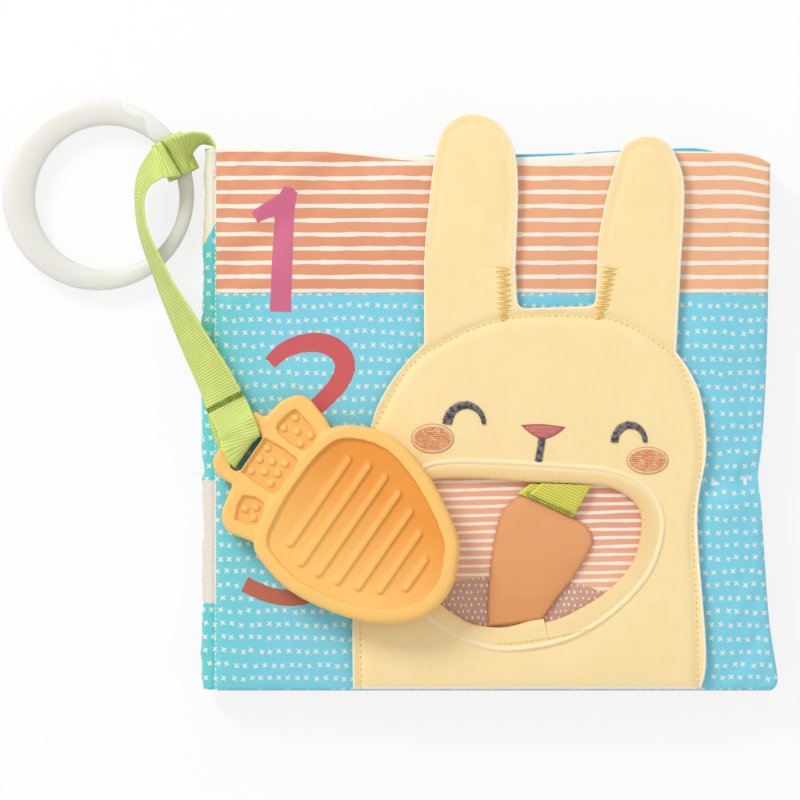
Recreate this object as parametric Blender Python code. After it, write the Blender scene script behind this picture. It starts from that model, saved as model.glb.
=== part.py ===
"""Crinkle cloth book for a baby: padded covers and leaves, an applique bunny with loose ears and a
belly window, a cloth carrot, and a link ring and a silicone teether on a ribbon.

Metres, +Z up. The book lies closed on its back, with its top edge towards +Y and its spine at -X.
The origin is the centre of the back cover's flat underside.
"""

import math

import bmesh
import bpy
from mathutils import Matrix, Vector

# Covers and leaves
COVER_WIDTH = 0.1755
COVER_HEIGHT = 0.1705
COVER_CLOTH = 0.0006
COVER_WADDING = 0.0022
LEAF_CLOTH = 0.0005
LEAF_WADDING = 0.0012
LEAF_SHORTER = 0.0012
FILM = 0.00015
GAP = 0.0003
RIGHT_BOW = 0.005
TOP_SAG = 0.0012
COVER_LINES = 10
LEAF_LINES = 8
OUTER_DROP_SHARE = 0.68
LEAF_DROP_SHARE = 0.5
COVER_FLAT_SHARE = 0.588
LEAF_FLAT_SHARE = 0.383
CORNER_ROUND_SHARE = 0.03
WELD_DISTANCE = 0.000001
BISECT_DISTANCE = 0.0000001

# Spine
SPINE_BULGE = 0.0037
SPINE_LINING = 0.0005
SPINE_END_INSET = 0.001
HINGE_SET_BACK = 0.0004
SPINE_ARC_STEPS = 10

# Photograph: the front cover's middle and its size in pixels, and how large a pixel is there
BOOK_CENTRE_PIXELS = (495, 419)
COVER_PIXELS = (558, 542)
PIXEL_SIZE = 0.0003145

# Bunny panel
PANEL_VELOUR = 0.0012
PANEL_WADDING = 0.0015
WADDING_INSET = 0.0015
POCKET_CLOTH = 0.0005
POCKET_MARGIN = 0.001
BINDING_WIDTH = 0.006
BINDING_HEIGHT = 0.0026
PANEL_EDGE = 0.0003
EAR_EDGE = 0.0007
EAR_THICKNESS = 0.003
EAR_AXIS_LIFT = 0.0002
EAR_FOLD_ROW_PIXELS = 267
PANEL_PIXELS = (
    (353, 689), (353, 600), (360, 510), (371, 427), (386, 390), (405, 364), (424, 344), (424, 267),
    (515.5, 267), (518, 308), (593, 306), (597, 267), (680.5, 267), (676, 352), (691, 374),
    (702, 403), (706, 454), (697, 520), (706, 650), (701, 689),
)
PANEL_CORNERS = {0, 6, 7, 8, 9, 10, 11, 12, 13, 19}
LEFT_EAR_PIXELS = (
    (424, 267), (426, 235), (430, 195), (437, 146), (449, 123), (472, 113.5), (497, 122),
    (513, 146), (518, 187), (515.5, 267),
)
RIGHT_EAR_PIXELS = (
    (597, 267), (599, 235), (609, 187), (621, 151), (632, 140), (647, 136), (663, 140),
    (674, 153), (684, 187), (680.5, 267),
)
EAR_CORNERS = {0, 9}
BINDING_PIXELS = (
    (432, 474), (465, 468.5), (512, 469.5), (560, 474.5), (605, 481), (632, 492), (648, 508),
    (652, 528), (647, 550), (635, 568), (612, 589), (584, 607), (552, 622), (520, 632),
    (490, 635), (460, 627), (434, 606), (410, 573), (398, 540), (397, 505), (409, 484),
)

# Face
EMBROIDERY = 0.0006
EYE_STROKE_PIXELS = 4.4
LEFT_EYE_PIXELS = ((465.5, 424), (18.5, 18.5))
RIGHT_EYE_PIXELS = ((629.5, 442), (15.5, 16))
LEFT_CHEEK_PIXELS = ((432.5, 438.4), (21.5, 15))
RIGHT_CHEEK_PIXELS = ((647, 460.4), (21, 14))
NOSE_PIXELS = ((521, 425), (543, 426), (565.5, 428), (556, 434), (542.3, 438), (530, 433))
MOUTH_PIXELS = ((542.2, 443.5), (540.5, 451), (538.6, 458))
MOUTH_STROKE_PIXELS = 4.3
TACK_THREAD = 0.0007
TACK_TURNS = 12
LEFT_TACK_PIXELS = ((498, 509), (270, 318))
RIGHT_TACK_PIXELS = ((605, 615), (270, 316))

# Carrot in the window
CARROT_THICKNESS = 0.002
CARROT_EDGE = 0.0005
CARROT_RIBBON = 0.0008
CARROT_PIXELS = (
    (510, 504), (503, 512), (497, 526), (493, 547), (490, 572), (488.5, 600), (490, 616),
    (541, 604), (556, 592), (572, 572), (584, 556), (591, 541), (589, 531), (580, 525),
    (566, 519), (524, 501),
)
CARROT_CORNERS = {6, 7}
CARROT_RIBBON_PIXELS = ((528, 489.5), (577, 489.5), (567, 514.5), (519.5, 494))
CARROT_AXIS_ROW_PIXELS = 489

# Link ring
RING_RADIUS = 0.030
RING_BAND = 0.0075
RING_THICKNESS = 0.005
RING_SPLIT = 0.0003
LOOP_TO_SPINE = 0.0090
LOOP_BELOW_TOP = 0.0023
RING_HOLE_OFFSET_SHARES = (0.097, -0.031)
RING_SEGMENTS = 48
RING_SECTION_SEGMENTS = 12
RING_SPLIT_SHARES = (
    (0.2176, 1.336), (0.2121, 1.005), (0.2047, 0.674), (0.1853, 0.547), (0.1655, 0.665),
    (0.1493, 0.296), (0.1301, -0.138),
)

# Ribbons
RIBBON_WIDTH = 0.0127
RIBBON = 0.0008
RIBBON_STEPS = 3
LOOP_DIRECTION_SHARES = (0.896, 0.443)
RING_RIBBON_START = (
    ((0.01091, 0.00363), 0.0080, 90),
    ((0.00903, 0.00344), 0.0092, 70),
    ((0.00698, 0.00288), 0.0108, 46),
    ((0.00494, 0.00206), 0.0120, 24),
    ((0.00258, 0.00096), 0.0113, 8),
)
RING_RIBBON_LOOP = (
    (0.0000, 0.0104),
    (-0.0026, 0.0099),
    (-0.0046, 0.0082),
    (-0.0052, 0.0056),
    (-0.0045, 0.0026),
    (-0.0024, 0.0009),
    (0.0004, 0.0007),
    (0.0030, 0.0013),
    (0.0047, 0.0034),
    (0.0049, 0.0060),
    (0.0037, 0.0083),
    (0.0016, 0.0092),
    (0.0001, 0.0093),
)
LOOP_PIXELS = (174.3, 155.34)
LOOP_LAST_ROW_PIXELS = 206
SLOT_FIRST_ROW_PIXELS = 402
TETHER_ROUTE = (
    ((172, 157.5), 0.0122, (0.667, -0.744), 0),
    ((164.5, 160.5), 0.0138, (0.68, -0.73), 20),
    ((156.4, 163.8), 0.0138, (0.70, -0.71), 44),
    ((145.5, 174.5), 0.0120, (0.83, -0.55), 61),
    ((140, 189), 0.0110, (0.94, -0.35), 71),
    ((139, 206), 0.0112, (1.0, 0.0), 76),
    ((141.5, 226), 0.0122, (0.98, 0.20), 76),
    ((148, 246), 0.0138, (0.95, 0.30), 60),
    ((157, 266), 0.0148, (0.93, 0.36), 40),
    ((167.5, 289), 0.0154, (0.92, 0.39), 20),
    ((181, 315), 0.0162, (0.91, 0.41), 7),
    ((199, 349), 0.0172, (0.91, 0.41), 0),
    ((216, 380), 0.0178, (0.93, 0.37), 0),
    ((226, 402), 0.0186, (0.90, 0.44), 0),
    ((231, 413), 0.0214, (0.82, 0.57), 0),
    ((236, 424), 0.0241, (0.70, 0.71), 0),
    ((239.5, 434), 0.0247, (0.61, 0.79), 0),
    ((242, 443.5), 0.0248, (0.568, 0.823), 0),
    ((245.6, 449.9), 0.0238, (0.568, 0.823), 0),
    ((246.4, 450.8), 0.0208, (0.568, 0.823), 0),
    ((246.0, 450.5), 0.0180, (0.568, 0.823), 0),
    ((242.5, 447.5), 0.0166, (0.568, 0.823), 0),
    ((238, 441), 0.0163, (0.60, 0.80), 0),
    ((232, 427), 0.0163, (0.72, 0.69), 0),
    ((228.5, 415), 0.0163, (0.82, 0.57), 0),
    ((226, 404), 0.0164, (0.92, 0.39), 0),
)

# Teether, in its own frame: first along its length from the slot, then across it
TEETHER_LENGTH = 0.085
TEETHER_WIDTH = 0.058
TEETHER_BODY_THICKNESS = 0.0075
TEETHER_LEAF_THICKNESS = 0.0055
TEETHER_RECESS = 0.0014
TEETHER_RIM = 0.0043
TEETHER_BODY_EDGE = 0.0016
TEETHER_LEAF_EDGE = 0.0011
TEETHER_RIB = 0.0021
TEETHER_RIB_HEIGHT = 0.0010
TEETHER_BUMP = 0.0023
TEETHER_BUMP_HEIGHT = 0.0008
TEETHER_AXIS_HEIGHT = 0.02045
TEETHER_SLOT_PIXELS = (250, 456)
TEETHER_TURN_DEGREES = -34.6
TEETHER_TILT_DEGREES = 6
TEETHER_AXIS_SHARE = -0.073
BODY_SHARES = (
    (0.194, -0.364), (0.249, -0.426), (0.398, -0.474), (0.584, -0.438), (0.744, -0.348),
    (0.865, -0.186), (0.895, 0.016), (0.853, 0.184), (0.791, 0.298), (0.605, 0.453),
    (0.409, 0.526), (0.246, 0.452), (0.168, 0.300), (0.150, 0.000), (0.165, -0.250),
)
LEAVES_SHARES = (
    (0.300, -0.330), (0.196, -0.369), (0.141, -0.390), (0.102, -0.400), (0.075, -0.391),
    (0.053, -0.371), (0.032, -0.322), (0.022, -0.259), (0.015, -0.203), (0.009, -0.179),
    (-0.020, -0.181), (-0.048, -0.181), (-0.078, -0.167), (-0.098, -0.138), (-0.105, -0.103),
    (-0.107, 0.020), (-0.102, 0.150), (-0.082, 0.202), (-0.066, 0.219), (-0.042, 0.219),
    (-0.031, 0.236), (-0.026, 0.278), (-0.019, 0.334), (-0.002, 0.383), (0.019, 0.419),
    (0.045, 0.438), (0.075, 0.436), (0.119, 0.416), (0.162, 0.397), (0.205, 0.367),
    (0.300, 0.360),
)
LEAVES_CORNERS = {0, 9, 20, 30}
SLOT_SHARES = ((-0.042, 0.006), (-0.110, 0.134))
SLOT_CORNER_SHARE = 0.3
POCKETS_SHARES = (
    ((0.012, -0.085), (0.020, -0.095), (0.160, -0.093), (0.165, 0.000), (0.160, 0.133),
     (0.020, 0.130), (0.012, 0.120)),
    ((0.022, 0.233), (0.038, 0.338), (0.064, 0.347), (0.166, 0.300), (0.160, 0.190),
     (0.047, 0.190)),
    ((0.065, -0.195), (0.145, -0.163), (0.172, -0.280), (0.106, -0.324), (0.085, -0.310)),
)
BUMPS_SHARES = (
    (0.062, 0.310), (0.048, 0.229), (0.096, 0.257), (0.146, 0.278), (0.132, 0.209),
    (0.040, 0.091), (0.041, 0.016), (0.084, 0.045), (0.127, 0.076), (0.039, -0.062),
    (0.082, -0.022), (0.125, 0.009), (0.125, -0.055), (0.100, -0.247), (0.131, -0.207),
    (0.145, -0.262),
)
RIB_FIRST_SHARE = 0.311
RIB_PITCH_SHARE = 0.0741
RIB_ENDS_SHARES = (
    (-0.262, 0.290), (-0.314, 0.324), (-0.307, 0.321), (-0.284, 0.293), (-0.248, 0.248),
    (-0.195, 0.179), (-0.105, 0.081),
)
CUT_OVERRUN = 0.002

# Worked out from the sizes above
cover_filling = COVER_WADDING + FILM + 2 * GAP
cover_thickness = 2 * COVER_CLOTH + GAP + cover_filling
leaf_filling = LEAF_WADDING + FILM + 2 * GAP
leaf_thickness = 2 * LEAF_CLOTH + GAP + leaf_filling
leaf_2_base = cover_thickness + GAP
leaf_1_base = leaf_2_base + leaf_thickness + GAP
front_cover_base = leaf_1_base + leaf_thickness + GAP
cover_top = front_cover_base + cover_thickness
cover_seam = 2 * COVER_CLOTH + GAP
front_seam_z = cover_top - OUTER_DROP_SHARE * cover_filling - cover_seam / 2
hinge_x = -COVER_WIDTH / 2 - HINGE_SET_BACK
leaf_hinge_x = hinge_x + GAP + (2 * LEAF_CLOTH + GAP) / 2
pocket_low = cover_top + GAP
binding_z = pocket_low + POCKET_CLOTH + GAP + BINDING_HEIGHT / 2
panel_low = pocket_low + PANEL_WADDING + GAP
panel_top = panel_low + PANEL_VELOUR
ring_z = RING_THICKNESS
ring_hole_radius = RING_RADIUS - RING_BAND


def clear_scene():
    for thing in list(bpy.data.objects):
        bpy.data.objects.remove(thing)
    for holder in list(bpy.data.collections):
        bpy.data.collections.remove(holder)


def collection(name):
    holder = bpy.data.collections.new(name)
    bpy.context.scene.collection.children.link(holder)
    return holder


def material(name, colour, roughness):
    made = bpy.data.materials.get(name)
    if made:
        return made
    made = bpy.data.materials.new(name)
    made.use_nodes = True
    shader = made.node_tree.nodes["Principled BSDF"]
    shader.inputs["Base Color"].default_value = (*colour, 1)
    shader.inputs["Roughness"].default_value = roughness
    shader.inputs["Metallic"].default_value = 0
    return made


def place(pixel):
    """The point of the book's plane that a pixel of the photograph shows."""
    across = (pixel[0] - BOOK_CENTRE_PIXELS[0]) * COVER_WIDTH / COVER_PIXELS[0]
    up = (BOOK_CENTRE_PIXELS[1] - pixel[1]) * COVER_HEIGHT / COVER_PIXELS[1]
    return Vector((across, up))


def pixels_long(count):
    return count * COVER_WIDTH / COVER_PIXELS[0]


def seen_from(pixel, anchor_pixel, anchor):
    """The point that a pixel shows, measured in real size from a point whose place is known."""
    return anchor + (Vector(pixel) - Vector(anchor_pixel)) * Vector((PIXEL_SIZE, -PIXEL_SIZE))


def smooth(points, corners=(), steps=3, closed=True):
    """Points along a curve through the given ones, which turns sharply only at the corners."""
    points = [Vector(point) for point in points]
    count = len(points)
    found = []
    for index in range(count if closed else count - 1):
        after = (index + 1) % count
        start, end = points[index], points[after]
        before = start if index in corners or (not closed and index == 0) else points[index - 1]
        open_end = not closed and after == count - 1
        beyond = end if after in corners or open_end else points[(after + 1) % count]
        straight = index in corners and after in corners
        for step in range(1 if straight else steps):
            t = step / steps
            found.append(
                start
                + (end - before) * t / 2
                + (before * 2 - start * 5 + end * 4 - beyond) * t * t / 2
                + (start * 3 - before - end * 3 + beyond) * t**3 / 2
            )
    if not closed:
        found.append(points[-1])
    return found


def turning(points):
    """Twice the area that the outline holds, positive when it runs anticlockwise."""
    return sum(a.x * b.y - b.x * a.y for a, b in zip(points, points[1:] + points[:1]))


def widened(points, distance):
    """The outline moved outwards by a distance, or inwards by a negative one."""
    side = distance if turning(points) > 0 else -distance
    found = []
    for index, point in enumerate(points):
        before = (point - points[index - 1]).normalized()
        after = (points[(index + 1) % len(points)] - point).normalized()
        along = (before + after).normalized()
        mitre = max(along.dot(after), 0.5)
        found.append(point + Vector((along.y, -along.x)) * side / mitre)
    return found


def ellipse(centre, half_sizes, steps, turn=math.tau):
    """Points of an ellipse, or of the arc of it that starts at the right and runs anticlockwise."""
    count = steps if turn == math.tau else steps + 1
    angles = [turn * step / steps for step in range(count)]
    return [
        centre + Vector((half_sizes[0] * math.cos(angle), half_sizes[1] * math.sin(angle)))
        for angle in angles
    ]


def show(name, mesh, look, holder, flat=False):
    """A named object for a mesh whose points are already in place."""
    mesh.materials.clear()
    mesh.materials.append(look)
    mesh.polygons.foreach_set("use_smooth", [not flat] * len(mesh.polygons))
    thing = bpy.data.objects.new(name, mesh)
    holder.objects.link(thing)
    return thing


def mesh_of(thing):
    """The welded mesh that an object shows, with the object removed."""
    bpy.context.view_layer.update()
    graph = bpy.context.evaluated_depsgraph_get()
    mesh = bpy.data.meshes.new_from_object(thing.evaluated_get(graph), depsgraph=graph)
    mesh.transform(thing.matrix_world)
    bpy.data.objects.remove(thing)
    shell = bmesh.new()
    shell.from_mesh(mesh)
    bmesh.ops.remove_doubles(shell, verts=shell.verts, dist=WELD_DISTANCE)
    bmesh.ops.recalc_face_normals(shell, faces=shell.faces)
    shell.to_mesh(mesh)
    shell.free()
    return mesh


def plate_mesh(outlines, low, high, edge=0):
    """A flat plate between two heights, whose first outline is its rim and the others its holes."""
    curve = bpy.data.curves.new("outline", "CURVE")
    curve.dimensions = "2D"
    curve.fill_mode = "BOTH"
    curve.extrude = (high - low) / 2 - edge
    curve.bevel_depth = edge
    curve.bevel_resolution = 1
    curve.offset = -edge
    for outline in outlines:
        spline = curve.splines.new("POLY")
        spline.points.add(len(outline) - 1)
        for point, corner in zip(spline.points, outline):
            point.co = (corner.x, corner.y, 0, 1)
        spline.use_cyclic_u = True
    thing = bpy.data.objects.new("outline", curve)
    bpy.context.scene.collection.objects.link(thing)
    thing.location.z = (low + high) / 2
    return mesh_of(thing)


def tube_mesh(points, radius, flatness, closed=False, sides=4):
    """A tube along level points, pressed flat to a share of its width."""
    curve = bpy.data.curves.new("path", "CURVE")
    curve.dimensions = "3D"
    curve.bevel_depth = radius
    curve.bevel_resolution = sides
    curve.use_fill_caps = not closed
    spline = curve.splines.new("POLY")
    spline.points.add(len(points) - 1)
    for point, place_at in zip(spline.points, points):
        point.co = (place_at.x, place_at.y, 0, 1)
    spline.use_cyclic_u = closed
    thing = bpy.data.objects.new("path", curve)
    bpy.context.scene.collection.objects.link(thing)
    thing.scale.z = flatness
    return mesh_of(thing)


def cut(mesh, cutters, operation="DIFFERENCE"):
    """The mesh after one Boolean with each of the given meshes."""
    thing = bpy.data.objects.new("work", mesh)
    bpy.context.scene.collection.objects.link(thing)
    tools = []
    for index, cutter in enumerate(cutters):
        tool = bpy.data.objects.new(f"tool_{index}", cutter)
        bpy.context.scene.collection.objects.link(tool)
        tools.append(tool)
        step = thing.modifiers.new(f"cut_{index}", "BOOLEAN")
        step.operation = operation
        step.solver = "EXACT"
        step.object = tool
    result = mesh_of(thing)
    for tool in tools:
        bpy.data.objects.remove(tool)
    return result


def joint_frame(name, position, rotation=None):
    """An empty that stands on a joint's axis and carries the pieces that turn about it."""
    empty = bpy.data.objects.new(name, None)
    bpy.context.scene.collection.objects.link(empty)
    turned = rotation or Matrix.Identity(3)
    empty.matrix_world = Matrix.Translation(position) @ turned.to_4x4()
    return empty


def carry(empty, things):
    bpy.context.view_layer.update()
    for thing in things:
        thing.parent = empty
        thing.matrix_parent_inverse = empty.matrix_world.inverted()


def fullness(t, flat_share):
    """How far a padded sheet is filled at a place from its middle (0) to its seam (1 or -1)."""
    outside = max(0, abs(t) - flat_share) / (1 - flat_share)
    return math.sqrt(max(0, 1 - outside**3))


def cloth_layer(name, lines, inner, layout, low, high, look, holder):
    """One layer of a padded sheet. Layers of a sheet share their grid, so they never touch."""
    sheet = bmesh.new()
    bmesh.ops.create_grid(sheet, x_segments=lines, y_segments=lines, size=1)
    if inner:
        edge = 1 - 1 / lines
        next_edge = 1 - 3 / lines
        rim = [v for v in sheet.verts if max(abs(v.co.x), abs(v.co.y)) > edge]
        rim += [v for v in sheet.verts if min(abs(v.co.x), abs(v.co.y)) > next_edge and v not in rim]
        bmesh.ops.delete(sheet, geom=rim, context="VERTS")
    bmesh.ops.triangulate(sheet, faces=sheet.faces, quad_method="FIXED")
    raised = bmesh.ops.extrude_face_region(sheet, geom=list(sheet.faces))["geom"]
    upper = {item for item in raised if isinstance(item, bmesh.types.BMVert)}
    for vertex in sheet.verts:
        u = math.sin(math.pi / 2 * vertex.co.x)
        v = math.sin(math.pi / 2 * vertex.co.y)
        height = high(u, v) if vertex in upper else low(u, v)
        vertex.co = (*layout(u, v), height)
    bmesh.ops.recalc_face_normals(sheet, faces=sheet.faces)
    mesh = bpy.data.meshes.new(name)
    sheet.to_mesh(mesh)
    sheet.free()
    return show(name, mesh, look, holder)


def padded_sheet(names, lines, layout, base, cloth, filling, lower_share, flat_share, looks, holder):
    """Lower cloth, wadding, film and upper cloth of a sheet that is sewn all round."""
    thickness = 2 * cloth + GAP + filling

    def loss(u, v):
        return filling * (1 - fullness(u, flat_share) * fullness(v, flat_share))

    def bottom(u, v):
        return base + lower_share * loss(u, v)

    def top(u, v):
        return base + thickness - (1 - lower_share) * loss(u, v)

    film_top = cloth + GAP
    wadding_top = film_top + FILM + GAP
    layers = (
        (False, bottom, lambda u, v: bottom(u, v) + cloth),
        (True, lambda u, v: bottom(u, v) + cloth + GAP, lambda u, v: top(u, v) - wadding_top),
        (True, lambda u, v: top(u, v) - film_top - FILM, lambda u, v: top(u, v) - film_top),
        (False, lambda u, v: top(u, v) - cloth, top),
    )
    return [
        cloth_layer(name, lines, inner, layout, low, high, look, holder)
        for name, look, (inner, low, high) in zip(names, looks, layers)
    ]


def cover_layout(u, v):
    rounding = 1 - CORNER_ROUND_SHARE * abs(u * v) ** 12
    x = COVER_WIDTH / 2 * u * rounding - RIGHT_BOW * (1 - v * v) * max(u, 0) ** 2
    y = COVER_HEIGHT / 2 * v * rounding - TOP_SAG * (1 - u * u) * max(v, 0) ** 2
    return x, y


def leaf_layout(u, v):
    rounding = 1 - CORNER_ROUND_SHARE * abs(u * v) ** 12
    left = leaf_hinge_x
    right = COVER_WIDTH / 2
    x = (left + right) / 2 + (right - left) / 2 * u - RIGHT_BOW * (1 - v * v) * max(u, 0) ** 2
    y = (COVER_HEIGHT - LEAF_SHORTER) / 2 * v * rounding
    return x, y


def covers(looks, holder):
    film, wadding = looks["film"], looks["wadding"]
    back = padded_sheet(
        [f"back_cover_{piece}" for piece in ("outer_cloth", "padding", "crinkle_film", "inner_cloth")],
        COVER_LINES, cover_layout, 0, COVER_CLOTH, cover_filling, OUTER_DROP_SHARE,
        COVER_FLAT_SHARE, (looks["sky"], wadding, film, looks["lime"]), holder,
    )
    front = padded_sheet(
        [f"front_cover_{piece}" for piece in ("inner_cloth", "padding", "crinkle_film", "outer_cloth")],
        COVER_LINES, cover_layout, front_cover_base, COVER_CLOTH, cover_filling,
        1 - OUTER_DROP_SHARE, COVER_FLAT_SHARE, (looks["blue"], wadding, film, looks["sky"]), holder,
    )
    return back, front


def leaf(name, base, looks, holder):
    names = [f"{name}_{piece}" for piece in ("back_cloth", "padding", "crinkle_film", "front_cloth")]
    return padded_sheet(
        names, LEAF_LINES, leaf_layout, base, LEAF_CLOTH, leaf_filling, LEAF_DROP_SHARE,
        LEAF_FLAT_SHARE, (looks["lime"], looks["wadding"], looks["film"], looks["blue"]), holder,
    )


def spine(looks, holder):
    """The padded strip of cloth that joins the covers. It doesn't move with either of them."""
    low = OUTER_DROP_SHARE * cover_filling
    high = front_seam_z - math.hypot(cover_seam / 2, HINGE_SET_BACK) - GAP
    middle = Vector((hinge_x, (low + high) / 2))
    height = (high - low) / 2

    def arc(inset, flat=0):
        half, bulge = height - inset, SPINE_BULGE - inset
        start = math.asin(flat / bulge)
        steps = [start + (math.pi - 2 * start) * step / SPINE_ARC_STEPS
                 for step in range(SPINE_ARC_STEPS + 1)]
        return [middle + Vector((-bulge * math.sin(a), half * math.cos(a))) for a in steps]

    length = COVER_HEIGHT / 2
    outer = arc(0) + arc(COVER_CLOTH)[::-1]
    roll = arc(COVER_CLOTH + GAP, SPINE_LINING + GAP)
    flat_half = height - COVER_CLOTH - GAP
    lining = [
        middle + Vector((x, side * flat_half))
        for x, side in ((0, -1), (0, 1), (-SPINE_LINING, 1), (-SPINE_LINING, -1))
    ]
    pieces = (
        ("spine_outer_cloth", outer, length, looks["sky"]),
        ("spine_padding", roll, length - SPINE_END_INSET, looks["wadding"]),
        ("spine_lining", lining, length - SPINE_END_INSET, looks["lime"]),
    )
    made = []
    for name, outline, half_length, look in pieces:
        mesh = plate_mesh([outline], -half_length, half_length)
        mesh.transform(Matrix.Rotation(math.pi / 2, 4, "X"))
        made.append(show(name, mesh, look, holder, flat=name == "spine_lining"))
    return made


def bend_down(mesh):
    """Lets the lower end of a plate follow the front cover, which falls towards its seam."""
    shell = bmesh.new()
    shell.from_mesh(mesh)
    rows = [math.sin(math.pi * line / COVER_LINES) for line in range(1, COVER_LINES // 2)]
    for row in rows:
        y = -COVER_HEIGHT / 2 * row
        bmesh.ops.bisect_plane(
            shell, geom=shell.faces[:] + shell.edges[:] + shell.verts[:], plane_co=(0, y, 0),
            plane_no=(0, 1, 0), dist=BISECT_DISTANCE,
        )
    for vertex in shell.verts:
        share = min(1, -vertex.co.y / (COVER_HEIGHT / 2))
        if share > COVER_FLAT_SHARE:
            lost = 1 - fullness(share, COVER_FLAT_SHARE)
            vertex.co.z -= OUTER_DROP_SHARE * cover_filling * lost
    bmesh.ops.triangulate(shell, faces=shell.faces)
    shell.to_mesh(mesh)
    shell.free()
    return mesh


def bunny_panel(looks, holder):
    """Velour panel on its wadding, with the pocket cloth and the binding of the belly window."""
    fold = place((0, EAR_FOLD_ROW_PIXELS)).y
    corners = [place(pixel) for pixel in PANEL_PIXELS]
    rim = smooth([Vector((p.x, min(p.y, fold - GAP))) for p in corners], PANEL_CORNERS, 2)
    binding = smooth([place(pixel) for pixel in BINDING_PIXELS], (), 2)
    pocket = widened(binding, BINDING_WIDTH / 2 + POCKET_MARGIN)
    wadding_hole = widened(binding, BINDING_WIDTH / 2 + POCKET_MARGIN + GAP)
    panel_hole = widened(binding, BINDING_WIDTH / 2 + GAP)
    velour = bend_down(plate_mesh([rim, panel_hole], panel_low, panel_top, PANEL_EDGE))
    wadding = plate_mesh([widened(rim, -WADDING_INSET), wadding_hole], pocket_low,
                         pocket_low + PANEL_WADDING)
    tube = tube_mesh(binding, BINDING_WIDTH / 2, BINDING_HEIGHT / BINDING_WIDTH, closed=True, sides=2)
    tube.transform(Matrix.Translation((0, 0, binding_z)))
    pocket_mesh = plate_mesh([pocket], pocket_low, pocket_low + POCKET_CLOTH)
    return [
        show("bunny_panel", velour, looks["velour"], holder),
        show("bunny_wadding", bend_down(wadding), looks["wadding"], holder),
        show("window_print", bend_down(pocket_mesh), looks["peach"], holder),
        show("window_binding", tube, looks["velour"], holder),
    ]


def ear(name, pixels, looks, holder):
    outline = smooth([place(pixel) for pixel in pixels], EAR_CORNERS, 2)
    mesh = plate_mesh([outline], pocket_low, pocket_low + EAR_THICKNESS, EAR_EDGE)
    fold = place((0, EAR_FOLD_ROW_PIXELS)).y
    middle = place(((pixels[0][0] + pixels[-1][0]) / 2, 0)).x
    thing = show(name, mesh, looks["velour"], holder)
    axis_at = (middle, fold, pocket_low + EAR_THICKNESS + EAR_AXIS_LIFT)
    return thing, joint_frame(f"{name}_axis", axis_at)


def face(looks, holder):
    """Satin-stitched eyes, cheeks, nose and mouth, and the zigzag tacks that hold the ears."""
    low = panel_top + GAP
    high = low + EMBROIDERY
    made = []

    def stroke(name, points, width, look):
        mesh = tube_mesh(points, width, EMBROIDERY / 2 / width, sides=2)
        mesh.transform(Matrix.Translation((0, 0, (low + high) / 2)))
        made.append(show(name, mesh, look, holder))

    for name, (centre, halves) in (("left_eye", LEFT_EYE_PIXELS), ("right_eye", RIGHT_EYE_PIXELS)):
        sizes = [pixels_long(half) for half in halves]
        arc = ellipse(place(centre), sizes, 12, math.pi)
        stroke(name, arc, pixels_long(EYE_STROKE_PIXELS), looks["charcoal"])
    for name, (centre, halves) in (
        ("left_cheek", LEFT_CHEEK_PIXELS), ("right_cheek", RIGHT_CHEEK_PIXELS)
    ):
        sizes = [pixels_long(half) for half in halves]
        rim = ellipse(place(centre), sizes, 28)
        mesh = plate_mesh([rim], low, high, PANEL_EDGE / 2)
        made.append(show(name, mesh, looks["cheek"], holder))
    nose = smooth([place(pixel) for pixel in NOSE_PIXELS], (), 3)
    made.append(show("nose", plate_mesh([nose], low, high, PANEL_EDGE / 2), looks["pink"], holder))
    mouth = smooth([place(pixel) for pixel in MOUTH_PIXELS], (), 2, closed=False)
    stroke("mouth", mouth, pixels_long(MOUTH_STROKE_PIXELS), looks["charcoal"])
    for name, pixels in (("left_ear_tack", LEFT_TACK_PIXELS), ("right_ear_tack", RIGHT_TACK_PIXELS)):
        mesh = plate_mesh([zigzag(*pixels)], low, low + TACK_THREAD)
        made.append(show(name, mesh, looks["gold"], holder, flat=True))
    return made


def zigzag(columns, rows):
    """Outline of a thread that runs to and fro between two columns, from one row to another."""
    first, last = place((columns[0], rows[0])), place((columns[1], rows[1]))
    rise = abs(last.y - first.y) / TACK_TURNS
    slope = rise / math.hypot(rise, last.x - first.x)
    half = TACK_THREAD / 2 / slope
    line = [
        Vector((last.x if turn % 2 else first.x, first.y + (last.y - first.y) * turn / TACK_TURNS))
        for turn in range(TACK_TURNS + 1)
    ]
    side = Vector((half, 0))
    return [point + side for point in line] + [point - side for point in line[::-1]]


def carrot(looks, holder):
    low = binding_z - BINDING_HEIGHT / 2
    outline = smooth([place(pixel) for pixel in CARROT_PIXELS], CARROT_CORNERS, 2)
    body = plate_mesh([outline], low, low + CARROT_THICKNESS, CARROT_EDGE)
    middle = low + CARROT_THICKNESS / 2
    corners = [place(pixel) for pixel in CARROT_RIBBON_PIXELS]
    strip = plate_mesh([corners], middle - CARROT_RIBBON / 2, middle + CARROT_RIBBON / 2)
    axis_at = (*place((CARROT_RIBBON_PIXELS[0][0], CARROT_AXIS_ROW_PIXELS)), middle)
    pieces = [
        show("cloth_carrot", body, looks["terracotta"], holder),
        show("carrot_ribbon", strip, looks["ribbon"], holder, flat=True),
    ]
    return pieces, joint_frame("carrot_axis", axis_at)


def loop_point():
    """Where the ribbon's loop holds the ring's band, beside the spine's top corner."""
    return Vector((hinge_x - SPINE_BULGE - LOOP_TO_SPINE, COVER_HEIGHT / 2 - LOOP_BELOW_TOP))


def ring_inner(direction):
    """How far the rim of the ring's hole is from the ring's centre in a direction."""
    offset = Vector(RING_HOLE_OFFSET_SHARES) * RING_RADIUS
    along = direction.dot(offset)
    off_line = offset.length_squared - along * along
    return along + math.sqrt(ring_hole_radius**2 - off_line)


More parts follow.
